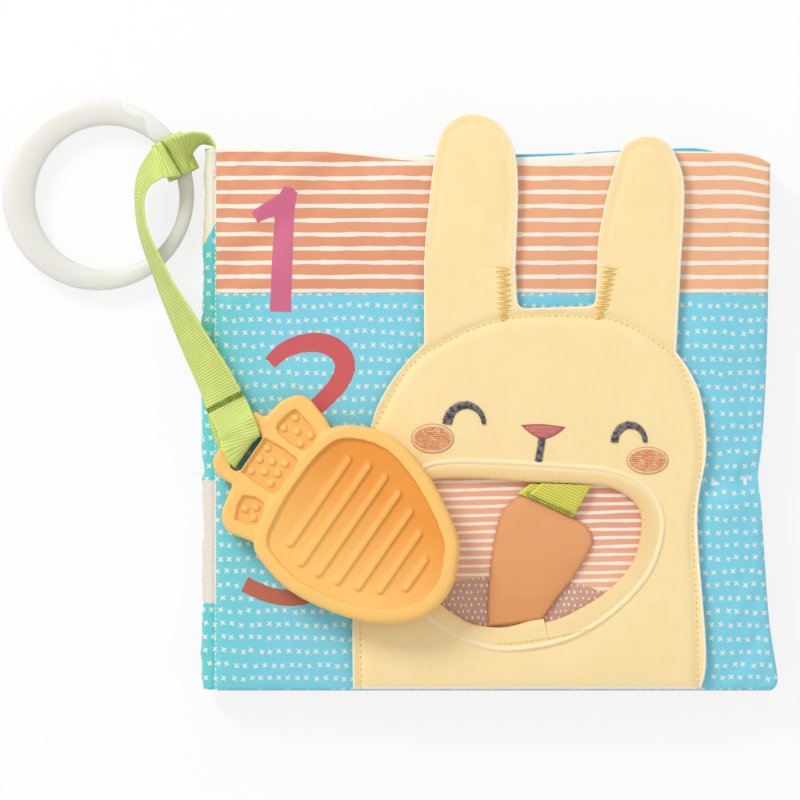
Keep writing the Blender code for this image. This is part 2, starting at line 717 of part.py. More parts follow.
def ring_centre():
    loop = Vector(LOOP_DIRECTION_SHARES).normalized()
    return loop_point() - loop * (RING_RADIUS + ring_inner(loop)) / 2


def ring_band(direction):
    """The middle of the ring's band in a direction from its centre, and half the band's width."""
    inner = ring_inner(direction)
    return ring_centre() + direction * (RING_RADIUS + inner) / 2, (RING_RADIUS - inner) / 2


def link_ring(looks, holder):
    """Ring whose hole is a little off its centre, with a thin S-shaped split through its band."""
    bpy.ops.mesh.primitive_torus_add(
        major_segments=RING_SEGMENTS, minor_segments=RING_SECTION_SEGMENTS, major_radius=1,
        minor_radius=0.5,
    )
    torus = bpy.context.object
    for vertex in torus.data.vertices:
        flat = vertex.co.xy
        middle, half = ring_band(flat.normalized())
        point = middle + flat.normalized() * (flat.length - 1) * 2 * half
        vertex.co = (*point, ring_z + vertex.co.z * RING_THICKNESS)
    mesh = mesh_of(torus)
    route = []
    for turn, across in RING_SPLIT_SHARES:
        direction = Vector((math.cos(math.tau * turn), math.sin(math.tau * turn)))
        inner = ring_inner(direction)
        route.append(ring_centre() + direction * (inner + (RING_RADIUS - inner) * across))
    line = smooth(route, (), 2, closed=False)
    side = []
    for index, point in enumerate(line):
        along = line[min(index + 1, len(line) - 1)] - line[max(index - 1, 0)]
        side.append(Vector((along.y, -along.x)).normalized() * RING_SPLIT / 2)
    rim = [p + s for p, s in zip(line, side)] + [p - s for p, s in zip(line, side)][::-1]
    slit = plate_mesh([rim], ring_z - RING_THICKNESS, ring_z + RING_THICKNESS)
    mesh = cut(mesh, [slit])
    axis_at = (*loop_point(), ring_z)
    return show("link_ring", mesh, looks["milky"], holder), joint_frame("ring_axis", axis_at)


def ribbon(name, stations, look, holder):
    """A flat ribbon through stations, each a centre and the direction of its width."""
    centres = smooth([centre for centre, _ in stations], (), RIBBON_STEPS, closed=False)
    widths = smooth([across for _, across in stations], (), RIBBON_STEPS, closed=False)
    shell = bmesh.new()
    rings = []
    for index, centre in enumerate(centres):
        along = centres[min(index + 1, len(centres) - 1)] - centres[max(index - 1, 0)]
        across = widths[index] - along * widths[index].dot(along) / along.length_squared
        across = across.normalized() * RIBBON_WIDTH / 2
        thick = along.cross(across).normalized() * RIBBON / 2
        corners = (across + thick, thick - across, -across - thick, across - thick)
        rings.append([shell.verts.new(centre + corner) for corner in corners])
    for ring, following in zip(rings, rings[1:]):
        for side in range(4):
            after = (side + 1) % 4
            shell.faces.new((ring[side], ring[after], following[after], following[side]))
    shell.faces.new(rings[0][::-1])
    shell.faces.new(rings[-1])
    bmesh.ops.triangulate(shell, faces=shell.faces)
    bmesh.ops.recalc_face_normals(shell, faces=shell.faces)
    mesh = bpy.data.meshes.new(name)
    shell.to_mesh(mesh)
    shell.free()
    return show(name, mesh, look, holder, flat=True)


def tilted(direction, degrees):
    """A level direction tipped down at its far end."""
    angle = math.radians(degrees)
    level = Vector(direction).normalized() * math.cos(angle)
    return Vector((*level, -math.sin(angle)))


def ring_ribbon(looks, holder):
    """From the spine's top corner, over the ring's band, round it and back under the strand."""
    loop = Vector(LOOP_DIRECTION_SHARES).normalized()
    tangent = (loop.y, -loop.x)
    middle = loop_point()
    stations = [
        (Vector((*(middle + Vector(offset)), height)), tilted(tangent, tilt))
        for offset, height, tilt in RING_RIBBON_START
    ]
    for radial, height in RING_RIBBON_LOOP:
        stations.append((Vector((*(middle + loop * radial), height)), tilted(tangent, 0)))
    return ribbon("ring_ribbon", stations, looks["ribbon"], holder)


def tether_point(pixel):
    """A point of the tether, measured from the ring's loop at one end and the slot at the other."""
    strand_rows = SLOT_FIRST_ROW_PIXELS - LOOP_LAST_ROW_PIXELS
    share = min(1, max(0, (pixel[1] - LOOP_LAST_ROW_PIXELS) / strand_rows))
    at_loop = seen_from(pixel, LOOP_PIXELS, loop_point())
    return at_loop.lerp(seen_from(pixel, TEETHER_SLOT_PIXELS, place(TEETHER_SLOT_PIXELS)), share)


def tether_ribbon(looks, holder):
    """From the seam at the ring to the teether, through its slot and back to its own stitches."""
    stations = [
        (Vector((*tether_point(pixel), height)), tilted(across, -tilt))
        for pixel, height, across, tilt in TETHER_ROUTE
    ]
    return ribbon("tether_ribbon", stations, looks["ribbon"], holder)


def teether_point(share):
    return Vector(((share[0] - TEETHER_AXIS_SHARE) * TEETHER_LENGTH, share[1] * TEETHER_WIDTH))


def rounded_bar(start, end, half, low, high):
    """A plate with round ends between two points."""
    along = (end - start).normalized() * half
    side = Vector((-along.y, along.x))
    angles = [math.pi * step / 6 for step in range(7)]
    rim = [end - side * math.cos(a) + along * math.sin(a) for a in angles]
    rim += [start + side * math.cos(a) - along * math.sin(a) for a in angles]
    return plate_mesh([rim], low, high)


def slot_rim():
    """The slot's outline: a rectangle with its corners cut off."""
    low, high = (teether_point(share) for share in zip(*SLOT_SHARES))
    cut_off = (high.x - low.x) * SLOT_CORNER_SHARE
    rim = []
    for x, y, right, up in (
        (low.x, low.y, 1, 1), (high.x, low.y, -1, 1), (high.x, high.y, -1, -1), (low.x, high.y, 1, -1)
    ):
        beside, above = Vector((x + right * cut_off, y)), Vector((x, y + up * cut_off))
        rim += [above, beside] if right == up else [beside, above]
    return rim


def ball(point, radius, height):
    """A low dome that stands in a recess."""
    shell = bmesh.new()
    bmesh.ops.create_icosphere(shell, subdivisions=1, radius=radius)
    mesh = bpy.data.meshes.new("ball")
    shell.to_mesh(mesh)
    shell.free()
    mesh.transform(Matrix.Translation((*point, height)))
    return mesh


def teether(looks, holder):
    """One piece of silicone: a ribbed body and three leaves, the middle one with the slot."""
    body_half, leaf_half = TEETHER_BODY_THICKNESS / 2, TEETHER_LEAF_THICKNESS / 2
    body_rim = smooth([teether_point(share) for share in BODY_SHARES], (), 3)
    leaves_rim = smooth([teether_point(share) for share in LEAVES_SHARES], LEAVES_CORNERS, 2)
    body = plate_mesh([body_rim], -body_half, body_half, TEETHER_BODY_EDGE)
    leaves = plate_mesh([leaves_rim], -leaf_half, leaf_half, TEETHER_LEAF_EDGE)
    mesh = cut(body, [leaves], "UNION")
    floor = body_half - TEETHER_RECESS
    leaf_floor = leaf_half - TEETHER_RECESS
    tops = [plate_mesh([widened(body_rim, -TEETHER_RIM)], floor, body_half + CUT_OVERRUN)]
    for shares in POCKETS_SHARES:
        rim = smooth([teether_point(share) for share in shares], (), 2)
        tops.append(plate_mesh([rim], leaf_floor, body_half + CUT_OVERRUN))
    tops.append(plate_mesh([slot_rim()], -body_half, body_half + CUT_OVERRUN))
    mesh = cut(mesh, tops)
    additions = []
    for index, ends in enumerate(RIB_ENDS_SHARES):
        u = RIB_FIRST_SHARE + RIB_PITCH_SHARE * index
        low, high = teether_point((u, ends[0])), teether_point((u, ends[1]))
        additions.append(
            rounded_bar(low, high, TEETHER_RIB / 2, floor - TEETHER_RECESS, floor + TEETHER_RIB_HEIGHT)
        )
    for share in BUMPS_SHARES:
        radius = TEETHER_BUMP / 2
        additions.append(ball(teether_point(share), radius, leaf_floor + TEETHER_BUMP_HEIGHT - radius))
    mesh = cut(mesh, additions, "UNION")
    turn = Matrix.Rotation(math.radians(TEETHER_TURN_DEGREES), 4, "Z")
    tilt = Matrix.Rotation(-math.radians(TEETHER_TILT_DEGREES), 4, "Y")
    axis_share = (TEETHER_AXIS_SHARE * TEETHER_LENGTH, 0, 0)
    axis_at = Vector((*place(TEETHER_SLOT_PIXELS), TEETHER_AXIS_HEIGHT)) + turn @ Vector(axis_share)
    mesh.transform(Matrix.Translation(axis_at) @ turn @ tilt)
    thing = show("teether", mesh, looks["orange"], holder)
    return thing, joint_frame("teether_axis", axis_at, turn.to_3x3())


def make_looks():
    return {
        "sky": material("printed_satin", (0.15, 0.56, 0.73), 0.42),
        "blue": material("blue_cloth", (0.16, 0.36, 0.62), 0.5),
        "lime": material("lime_cloth", (0.55, 0.68, 0.12), 0.5),
        "wadding": material("white_wadding", (0.86, 0.86, 0.84), 0.95),
        "film": material("crinkle_film", (0.82, 0.84, 0.86), 0.25),
        "velour": material("yellow_velour", (0.96, 0.75, 0.35), 0.85),
        "peach": material("striped_lining", (0.87, 0.55, 0.36), 0.7),
        "charcoal": material("charcoal_thread", (0.05, 0.05, 0.05), 0.5),
        "cheek": material("orange_thread", (0.87, 0.32, 0.1), 0.45),
        "pink": material("pink_thread", (0.73, 0.34, 0.33), 0.5),
        "gold": material("gold_thread", (0.7, 0.42, 0.08), 0.5),
        "terracotta": material("terracotta_cloth", (0.73, 0.3, 0.13), 0.6),
        "ribbon": material("lime_grosgrain", (0.45, 0.6, 0.1), 0.6),
        "milky": material("milky_plastic", (0.86, 0.84, 0.8), 0.3),
        "orange": material("orange_silicone", (0.93, 0.48, 0.1), 0.5),
    }


def main():
    clear_scene()
    holder = collection("crinkle_cloth_book")
    looks = make_looks()
    _, front = covers(looks, holder)
    leaf_1 = leaf("leaf_1", leaf_1_base, looks, holder)
    leaf_2 = leaf("leaf_2", leaf_2_base, looks, holder)
    spine(looks, holder)
    panel = bunny_panel(looks, holder)
    left_ear, left_axis = ear("left_ear", LEFT_EAR_PIXELS, looks, holder)
    right_ear, right_axis = ear("right_ear", RIGHT_EAR_PIXELS, looks, holder)
    stitches = face(looks, holder)
    carrot_pieces, carrot_axis = carrot(looks, holder)
    ring, ring_axis = link_ring(looks, holder)
    ring_ribbon(looks, holder)
    tether = tether_ribbon(looks, holder)
    teether_body, teether_axis = teether(looks, holder)
    cover_axis = joint_frame("cover_axis", (hinge_x, 0, front_seam_z))
    leaf_1_axis = joint_frame("leaf_1_axis", (leaf_hinge_x, 0, leaf_1_base + leaf_thickness / 2))
    leaf_2_axis = joint_frame("leaf_2_axis", (leaf_hinge_x, 0, leaf_2_base + leaf_thickness / 2))
    carry(left_axis, [left_ear])
    carry(right_axis, [right_ear])
    carry(carrot_axis, carrot_pieces)
    carry(ring_axis, [ring])
    carry(teether_axis, [teether_body])
    carry(leaf_1_axis, leaf_1)
    carry(leaf_2_axis, leaf_2)
    carry(cover_axis, [*front, *panel, *stitches, tether])
    carry(cover_axis, [left_axis, right_axis, carrot_axis, teether_axis])


main()
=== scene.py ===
"""Looks of a baby's crinkle cloth book: printed satin covers, a velour bunny with loose ears and a
belly window, a cloth carrot, and a link ring and a silicone teether on a grosgrain ribbon.

Runs as a script in Blender 4.5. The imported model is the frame, and each operator makes one piece
or one group of like pieces in the frame's own coordinates, in metres.
"""

import math

import bmesh
import bpy
import numpy as np
from bpy.props import FloatProperty, FloatVectorProperty, IntProperty, PointerProperty
from mathutils import Matrix, Vector, noise
from mathutils.bvhtree import BVHTree
from mathutils.geometry import delaunay_2d_cdt


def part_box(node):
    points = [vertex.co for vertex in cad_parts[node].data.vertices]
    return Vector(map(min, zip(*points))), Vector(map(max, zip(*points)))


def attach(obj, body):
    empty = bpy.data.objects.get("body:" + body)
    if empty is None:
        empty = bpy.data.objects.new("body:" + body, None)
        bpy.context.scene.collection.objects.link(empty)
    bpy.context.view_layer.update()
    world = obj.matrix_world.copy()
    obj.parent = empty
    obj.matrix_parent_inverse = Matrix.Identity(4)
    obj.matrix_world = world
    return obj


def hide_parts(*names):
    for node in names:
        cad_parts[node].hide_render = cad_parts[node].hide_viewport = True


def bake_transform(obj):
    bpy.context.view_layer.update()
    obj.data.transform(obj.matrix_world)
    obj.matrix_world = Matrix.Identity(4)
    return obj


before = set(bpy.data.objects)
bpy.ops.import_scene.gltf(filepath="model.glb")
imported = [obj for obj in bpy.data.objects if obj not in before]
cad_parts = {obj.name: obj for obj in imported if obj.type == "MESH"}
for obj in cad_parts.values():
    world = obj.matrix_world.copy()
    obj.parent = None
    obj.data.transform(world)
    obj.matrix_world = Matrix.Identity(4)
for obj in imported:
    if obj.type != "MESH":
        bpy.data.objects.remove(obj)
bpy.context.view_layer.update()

bl_info = {
    "name": "Crinkle cloth book",
    "version": (1, 0, 0),
    "blender": (4, 5, 0),
    "location": "3D View > Sidebar > Cloth Book",
    "description": "Makes the cloth book's pieces, their cloths and prints, and its studio",
    "category": "Object",
}

MM = 0.001

# The book's sizes, as the frame has them
COVER_WIDTH = 0.1755
COVER_HEIGHT = 0.1705
COVER_CLOTH = 0.0006
COVER_FILLING = 0.00295
COVER_DROP = 0.68
COVER_FLAT = 0.588
LEAF_CLOTH = 0.0005
LEAF_FILLING = 0.00195
LEAF_DROP = 0.5
LEAF_FLAT = 0.383
LEAF_LEFT = -0.0872
GAP = 0.0003
FRONT_BASE = 0.01185
LEAF_BASES = {"leaf_1": 0.0083, "leaf_2": 0.00475}
COVER_TOP = 0.0163
PANEL_LOW = 0.0184
PANEL_TOP = 0.0196
EAR_LOW = 0.0166
RING_RADIUS = 0.0303
RING_HOLE = 0.0228
RING_CENTRE = (-0.12530, 0.07090)
RING_OFFSET = (0.00285, -0.00090)
RING_Z = 0.005
RING_HALF = 0.0025

# Photograph: the cover's middle and its size in pixels
BOOK_CENTRE_PIXELS = (495, 419)
COVER_PIXELS = (558, 542)
PANEL_PIXELS = (
    (353, 689), (353, 600), (360, 510), (371, 427), (386, 390), (405, 364), (424, 344), (424, 267),
    (515.5, 267), (517, 298), (518.5, 305), (524, 308.5), (588, 306.5), (593.5, 304), (595.5, 298),
    (597, 267), (680.5, 267), (676, 352), (691, 374), (702, 403), (706, 454), (697, 520), (706, 650),
    (701, 689),
)
PANEL_CORNERS = {0, 6, 7, 8, 9, 11, 12, 14, 15, 16, 17, 23}
LEFT_EAR_PIXELS = (
    (424, 267), (426, 235), (430, 195), (437, 146), (449, 123), (472, 113.5), (497, 122),
    (513, 146), (518, 187), (515.5, 267),
)
RIGHT_EAR_PIXELS = (
    (597, 267), (599, 235), (609, 187), (621, 151), (632, 140), (647, 136), (663, 140),
    (674, 153), (684, 187), (680.5, 267),
)
WINDOW_PIXELS = (
    (430, 481.5), (443, 479), (466, 478.3), (487, 479), (514, 481), (539, 482.4), (571, 483.3),
    (590.5, 484.7), (606, 486.8), (619, 491.3), (630.5, 499), (638.3, 508.6), (641, 520),
    (640.6, 532), (636.4, 552.6), (628.7, 567.9), (619, 579.4), (605.8, 591.8), (592.4, 601.4),
    (580.9, 608), (563.7, 616.5), (544.5, 622.3), (525, 625.3), (510, 626.8), (495, 627.2),
    (475.7, 624.6), (464.2, 619.8), (454.6, 613.8), (445, 607), (428, 590), (415, 569), (407, 545),
    (406, 518), (414, 494),
)
CREST_PIXELS = (
    (421, 469.3), (433.6, 463.8), (456.5, 461.3), (485.2, 461.7), (513.9, 463), (542.6, 464.6),
    (571.3, 466.5), (600, 468.8), (619, 473), (636.4, 479.9), (648.5, 489.4), (657.5, 502.8),
    (662.2, 518), (661.8, 532), (658.4, 548.7), (651.7, 566), (642, 581.3), (628.7, 596.6),
    (609.6, 613.8), (590.4, 627.2), (571.3, 636.7), (552.2, 642.8), (533, 646.6), (514, 648.6),
    (500, 648.8), (487, 646.8), (471.8, 642), (456.5, 634.8), (443, 626), (427.8, 615.5),
    (410, 600), (396, 578), (388, 552), (387, 523), (395, 496), (407, 479),
)
CARROT_PIXELS = (
    (510, 503.5), (502.5, 511), (497, 526), (493, 547), (490, 572), (488, 600), (488, 626),
    (541, 621), (557, 598), (572, 579.5), (584, 561), (592, 544), (591.5, 534), (585, 525),
    (572, 517), (526, 495.5),
)
PANEL_STITCH_PIXELS = (
    (361, 687), (360.5, 600), (366, 510), (371, 441), (379, 420), (388, 403), (404, 374),
    (424, 354), (444, 343), (466, 332), (497, 321), (524, 317), (553, 316), (582, 317), (609, 319),
    (636, 330), (662, 347), (679, 364), (691, 393), (699, 429), (700, 470), (692, 520), (696, 600),
    (698, 687),
)
BINDING_STITCHES = ((499, 642.6), (520, 641.8), (545, 637.8), (566, 634), (585, 629.5))

# The binding's section: share of its width, millimetres beyond that, height in millimetres, whether
# the height counts from the velour, how ribbed it is there and how strong its painted highlight is there
BINDING_PROFILE = (
    (0, 0.35, 17.36, 0, 0, 0), (0, 0.05, 17.55, 0, 0, 0), (0, 0.00, 18.10, 0, 0.4, 0),
    (0, 0.00, 18.60, 0, 0.9, 0), (0, 0.06, 19.00, 0, 1, 0), (0, 0.24, 19.33, 0, 1, 0),
    (0, 0.60, 19.58, 0, 1, 0), (0, 1.10, 19.72, 0, 1, 0), (0.36, 0, 19.79, 0, 1, 0),
    (0.55, 0, 19.80, 0, 1, 0), (1, -1.85, 19.76, 0, 0.9, 0), (1, -1.40, 19.68, 0, 0.5, 0),
    (1, -1.02, 19.54, 0, 0, 0), (1, -0.72, 19.60, 0, 0, 0.2), (1, -0.45, 19.82, 0, 0, 0.7),
    (1, -0.16, 19.97, 0, 0, 1), (1, 0.14, 20.00, 0, 0, 1), (1, 0.45, 19.91, 0, 0, 0.6),
    (1, 0.74, 0.20, 1, 0, 0.1), (1, 0.94, 0.06, 1, 0, 0), (1, 0.98, -0.02, 1, 0, 0),
    (1, 0.30, -0.03, 1, 0, 0), (1, -0.38, -0.05, 1, 0, 0), (1, -0.44, 18.30, 0, 0, 0),
    (1, -0.52, 17.40, 0, 0, 0), (0.5, 0, 17.34, 0, 0, 0),
)

# The covers' edges in pixels: the top edge from left to right, and the right edge from top to bottom
LEAF_EDGE_PIXELS = (
    (217, 149), (331, 153.5), (400, 156), (432, 154.4), (470, 154.2), (515, 153.6), (575, 152.2),
    (620, 149.8), (680, 147.6), (700, 147.2), (714, 149.6), (735, 154), (760, 158.5), (774, 163),
)
TOP_EDGE_PIXELS = (
    (217, 145), (265, 146.5), (331, 150.5), (420, 155.5), (470, 157.5), (520, 157), (575, 154.5),
    (620, 151.5), (685, 151), (735, 152), (751, 154), (763, 157.5), (774, 163.5),
)
RIGHT_EDGE_PIXELS = (
    (766, 150), (769, 157), (770.5, 170), (768.5, 293), (766.5, 372), (762.5, 440), (759, 468),
    (758, 481), (761, 498), (764.5, 550), (769.5, 620), (777, 670), (778, 680), (776.5, 686),
    (772, 690.5),
)

# The teether's own frame, and shares of its length and width
TEETHER_LENGTH = 0.085
TEETHER_WIDTH = 0.058
TEETHER_AT_PIXELS = (250, 456)
TEETHER_HEIGHT = 0.02045
TEETHER_TURN = math.radians(-34.6)
TEETHER_TILT = math.radians(6)
TEETHER_AXIS_SHARE = -0.073
TEETHER_RIM = 0.0040
TEETHER_BODY_SHARES = (
    (0.194, -0.364), (0.249, -0.426), (0.398, -0.474), (0.584, -0.438), (0.744, -0.348),
    (0.865, -0.186), (0.895, 0.016), (0.853, 0.184), (0.791, 0.298), (0.605, 0.453),
    (0.409, 0.526), (0.246, 0.452), (0.168, 0.300), (0.150, 0.000), (0.165, -0.250),
)
TEETHER_POCKET_SHARES = (
    ((0.012, -0.085), (0.020, -0.095), (0.160, -0.093), (0.165, 0.000), (0.160, 0.133),
     (0.020, 0.130), (0.012, 0.120)),
    ((0.022, 0.233), (0.038, 0.338), (0.064, 0.347), (0.166, 0.300), (0.160, 0.190),
     (0.047, 0.190)),
    ((0.065, -0.195), (0.145, -0.163), (0.172, -0.280), (0.106, -0.324), (0.085, -0.310)),
)
TEETHER_BUMP_SHARES = (
    (0.062, 0.310), (0.048, 0.229), (0.096, 0.257), (0.146, 0.278), (0.132, 0.209),
    (0.040, 0.091), (0.041, 0.016), (0.084, 0.045), (0.127, 0.076), (0.039, -0.062),
    (0.082, -0.022), (0.125, 0.009), (0.125, -0.055), (0.100, -0.247), (0.131, -0.207),
    (0.145, -0.262),
)
SPLIT_SHARES = (
    (0.2176, 1.336), (0.2121, 1.005), (0.2047, 0.674), (0.1853, 0.547), (0.1655, 0.665),
    (0.1493, 0.296), (0.1301, -0.138),
)
NUMERALS = {
    "one": (
        (((254.5, 217.5), 6.5), ((291, 197.5), 9.5)),
        (((291.5, 189), 7), ((284.5, 214), 9.8), ((280.6, 312), 10.6)),
    ),
    "two": (
        (((270, 363), 7), ((283, 351), 8), ((300, 344), 9), ((318, 342.5), 9.8), ((333, 347), 10.2),
         ((343, 357), 10.2), ((345, 369), 10), ((339, 383), 9.5), ((328, 396), 9), ((310, 413), 8.5),
         ((288, 434), 8)),
    ),
    "three": (
        (((244.5, 584), 8), ((262, 592.5), 8), ((281, 597.5), 8), ((302, 596), 9), ((322, 585), 9),
         ((328, 566), 9), ((316, 551), 8.5), ((292, 546), 8)),
    ),
}

# Stations of the ribbons in millimetres: the middle, then the direction across
RING_RIBBON = (
    (-89.94, 86.58, 8, 0, 0, -1),
    (-92.05, 87.1, 9, 0.05, -0.19, -0.98),
    (-94.66, 86.55, 10.4, 0.1, -0.45, -0.887),
    (-96.9, 85.5, 11.4, 0.24, -0.64, -0.73),
    (-99.2, 84.15, 11.6, 0.46, -0.77, -0.44),
    (-101.2, 82.9, 10.7, 0.52, -0.83, -0.18),
    (-103.18, 81.8, 9.9, 0.443, -0.896, 0),
    (-104.97, 80.91, 8.2, 0.443, -0.896, 0),
    (-105.51, 80.65, 5.6, 0.443, -0.896, 0),
    (-104.88, 80.96, 2.6, 0.443, -0.896, 0),
    (-103, 81.89, 0.9, 0.443, -0.896, 0),
    (-100.49, 83.13, 0.7, 0.443, -0.896, 0),
    (-98.16, 84.28, 1.3, 0.443, -0.896, 0),
    (-96.64, 85.03, 3.4, 0.443, -0.896, 0),
    (-96.46, 85.12, 6, 0.443, -0.896, 0),
    (-97.53, 84.59, 8.3, 0.443, -0.896, 0),
    (-99.42, 83.66, 9.2, 0.443, -0.896, 0),
    (-100.76, 82.99, 9.3, 0.443, -0.896, 0),
)
STRIPE_SWAY = 0.0003
TETHER_RIBBON = (
    (-101.57, 82.27, 12.2, 0.668, -0.745, 0),
    (-103.93, 81.33, 13.8, 0.64, -0.688, 0.342),
    (-106.48, 80.29, 13.8, 0.505, -0.512, 0.695),
    (-109.91, 76.92, 12, 0.404, -0.268, 0.875),
    (-111.64, 72.36, 11, 0.305, -0.114, 0.946),
    (-111.95, 67.02, 11.2, 0.242, 0, 0.97),
    (-111.17, 60.72, 12.2, 0.237, 0.048, 0.97),
    (-109.12, 54.43, 13.8, 0.28, 0.09, 0.956),
    (-106.3, 48.14, 14.8, 0.33, 0.13, 0.935),
    (-103.2, 40.9, 15.6, 0.4, 0.17, 0.901),
    (-98.95, 32.72, 16.8, 0.54, 0.24, 0.807),
    (-93.29, 22.02, 18.4, 0.69, 0.31, 0.654),
    (-88, 12.27, 19.4, 0.82, 0.35, 0.45),
    (-84.8, 5.34, 20, 0.88, 0.42, 0.22),
    (-83.03, 1.88, 21.4, 0.821, 0.571, 0),
    (-81.46, -1.58, 24.1, 0.702, 0.712, 0),
    (-80.36, -4.72, 24.7, 0.611, 0.792, 0),
    (-79.57, -7.71, 24.8, 0.568, 0.823, 0),
    (-78.44, -9.72, 23.8, 0.568, 0.823, 0),
    (-78.19, -10, 20.8, 0.568, 0.823, 0),
    (-78.31, -9.91, 18, 0.568, 0.823, 0),
    (-79.42, -8.97, 16.6, 0.568, 0.823, 0),
    (-80.83, -6.92, 16.3, 0.6, 0.8, 0),
    (-82.72, -2.52, 16.3, 0.722, 0.692, 0),
    (-83.82, 1.26, 16.3, 0.821, 0.571, 0),
    (-84.6, 4.71, 16.4, 0.921, 0.39, 0),
)


def linear(red, green, blue):
    """A colour written in the usual 0 to 255 steps, as Blender's linear colour."""
    return tuple(
        c / 255 / 12.92 if c <= 10 else ((c / 255 + 0.055) / 1.055) ** 2.4
        for c in (red, green, blue)
    )


def colour_property(name, description, *steps):
    return FloatVectorProperty(
        name=name, description=description, subtype="COLOR", size=3, min=0, max=1,
        default=linear(*steps),
    )


def length_property(name, description, default):
    return FloatProperty(name=name, description=description, default=default, min=0, subtype="DISTANCE",
                         unit="LENGTH", precision=5)


class BookColours(bpy.types.PropertyGroup):
    orange: colour_property("Orange print", "Ground of the cover's stripes", 226, 150, 112)
    cream: colour_property("Cream print", "Lines and marks of the prints", 244, 236, 222)
    sky: colour_property("Sky print", "Ground of the cover's crosses", 126, 212, 232)
    teal: colour_property("Hill print", "Hills on the spine and the leaves", 98, 208, 208)
    page_blue: colour_property("Blue page", "Ground of the blue pages", 104, 202, 228)
    page_lime: colour_property("Lime page", "Ground of the lime pages", 204, 220, 100)
    numeral_one: colour_property("First numeral", "Ink of the 1", 208, 104, 136)
    numeral_two: colour_property("Second numeral", "Ink of the 2", 206, 88, 92)
    numeral_three: colour_property("Third numeral", "Ink of the 3", 188, 100, 78)
    velour: colour_property("Velour", "The bunny's cloth", 254, 230, 174)
    # The velour's pale cut edge, and also the painted highlight along the window binding's crest
    velour_edge: colour_property("Velour's cut edge", "Pale edge where the velour is cut", 255, 247, 226)
    gold_thread: colour_property("Gold thread", "Stitches round the bunny", 236, 188, 92)
    peach: colour_property("Pocket stripes", "Ground of the pocket's stripes", 238, 178, 142)
    soil: colour_property("Soil print", "Mounds on the pocket cloth", 204, 158, 138)
    carrot: colour_property("Carrot cloth", "The cloth carrot's print", 238, 168, 112)
    ribbon: colour_property("Ribbon", "Lime grosgrain", 214, 228, 122)
    ribbon_thread: colour_property("Ribbon thread", "Stitches on the ribbons", 112, 140, 34)
    ring: colour_property("Ring plastic", "Milky plastic of the link ring", 238, 236, 230)
    silicone: colour_property("Silicone", "The teether's moulded silicone", 251, 200, 114)
    charcoal: colour_property("Charcoal thread", "Eyes and mouth", 58, 54, 56)
    cheek: colour_property("Cheek thread", "Middle of the cheeks", 228, 146, 92)
    nose: colour_property("Nose thread", "The nose", 208, 116, 110)
    floor: colour_property("Floor", "Pale studio floor", 246, 246, 246)


class BookSizes(bpy.types.PropertyGroup):
    crease: length_property("Crease height", "How far the satin puffs and creases", 0.0021)
    quilting: length_property("Quilting depth", "How deep the bunny's stitches draw in", 0.00092)
    stitch_pitch: length_property("Stitch pitch", "Distance between the gold stitches", 0.00189)
    stitch_length: length_property("Stitch length", "Length of one gold stitch", 0.0011)
    thread: length_property("Thread thickness", "Diameter of the sewing thread", 0.00034)
    satin_thread: length_property("Embroidery thread", "Diameter of the embroidery thread", 0.00046)
    stripe_pitch: length_property("Stripe pitch", "Distance between the cover's cream lines", 0.004448)
    stripe_line: length_property("Stripe line", "Width of the cover's cream lines", 0.00128)
    pocket_pitch: length_property("Pocket stripe pitch", "Distance between the pocket's lines", 0.00267)
    pocket_line: length_property("Pocket stripe line", "Width of the pocket's lines", 0.00092)
    cross_row: length_property("Cross rows", "Distance between the rows of crosses", 0.00418)
    cross_step: length_property("Cross step", "Distance between crosses in a row", 0.0029)
    cross_size: length_property("Cross size", "Width of a cross", 0.00142)
    rib_pitch: length_property("Ribbon ribs", "Distance between the grosgrain's ribs", 0.00088)
    binding_rib: length_property("Binding ribs", "Distance between the binding's ribs", 0.00058)
    ribbon_width: length_property("Ribbon width", "Width of the grosgrain ribbon", 0.0127)
    ribbon_thickness: length_property("Ribbon thickness", "Thickness of the grosgrain", 0.0005)


class BookStudio(bpy.types.PropertyGroup):
    camera_distance: FloatProperty(name="Camera distance", description="Height of the camera over the cover",
                                   default=2.0, min=0.2, unit="LENGTH")
    view_width: FloatProperty(name="View width", description="How much of the cover's plane is in view",
                              default=0.2516, min=0.05, unit="LENGTH")
    key_power: FloatProperty(name="Key light", description="Power of the soft light at the upper left",
                             default=13.5, min=0, unit="POWER")
    fill_power: FloatProperty(name="Fill light", description="Power of the soft light at the lower right",
                              default=2.2, min=0, unit="POWER")
    sky_strength: FloatProperty(name="Room light", description="Strength of the even light all round",
                                default=0.66, min=0)
    seed: IntProperty(name="Seed", description="Seed of the stitches' unevenness", default=7, min=0)


def place(pixel):
    """The point of the book's plane that a pixel of the photograph shows."""
    return Vector((
        (pixel[0] - BOOK_CENTRE_PIXELS[0]) * COVER_WIDTH / COVER_PIXELS[0],
        (BOOK_CENTRE_PIXELS[1] - pixel[1]) * COVER_HEIGHT / COVER_PIXELS[1],
    ))


def at_row(row):
    return place((0, row)).y


def at_column(column):
    return place((column, 0)).x


def traced(pixels, corners=(), steps=3, closed=True):
    """A smooth line through pixels of the photograph."""
    return smooth([place(p) for p in pixels], corners, steps, closed)


def traced_rows(pixels, steps):
    """The points of an open smooth line through pixels, one to a row."""
    return np.array([tuple(p) for p in traced(pixels, (), steps, closed=False)])


def pixels_long(count):
    return count * COVER_WIDTH / COVER_PIXELS[0]


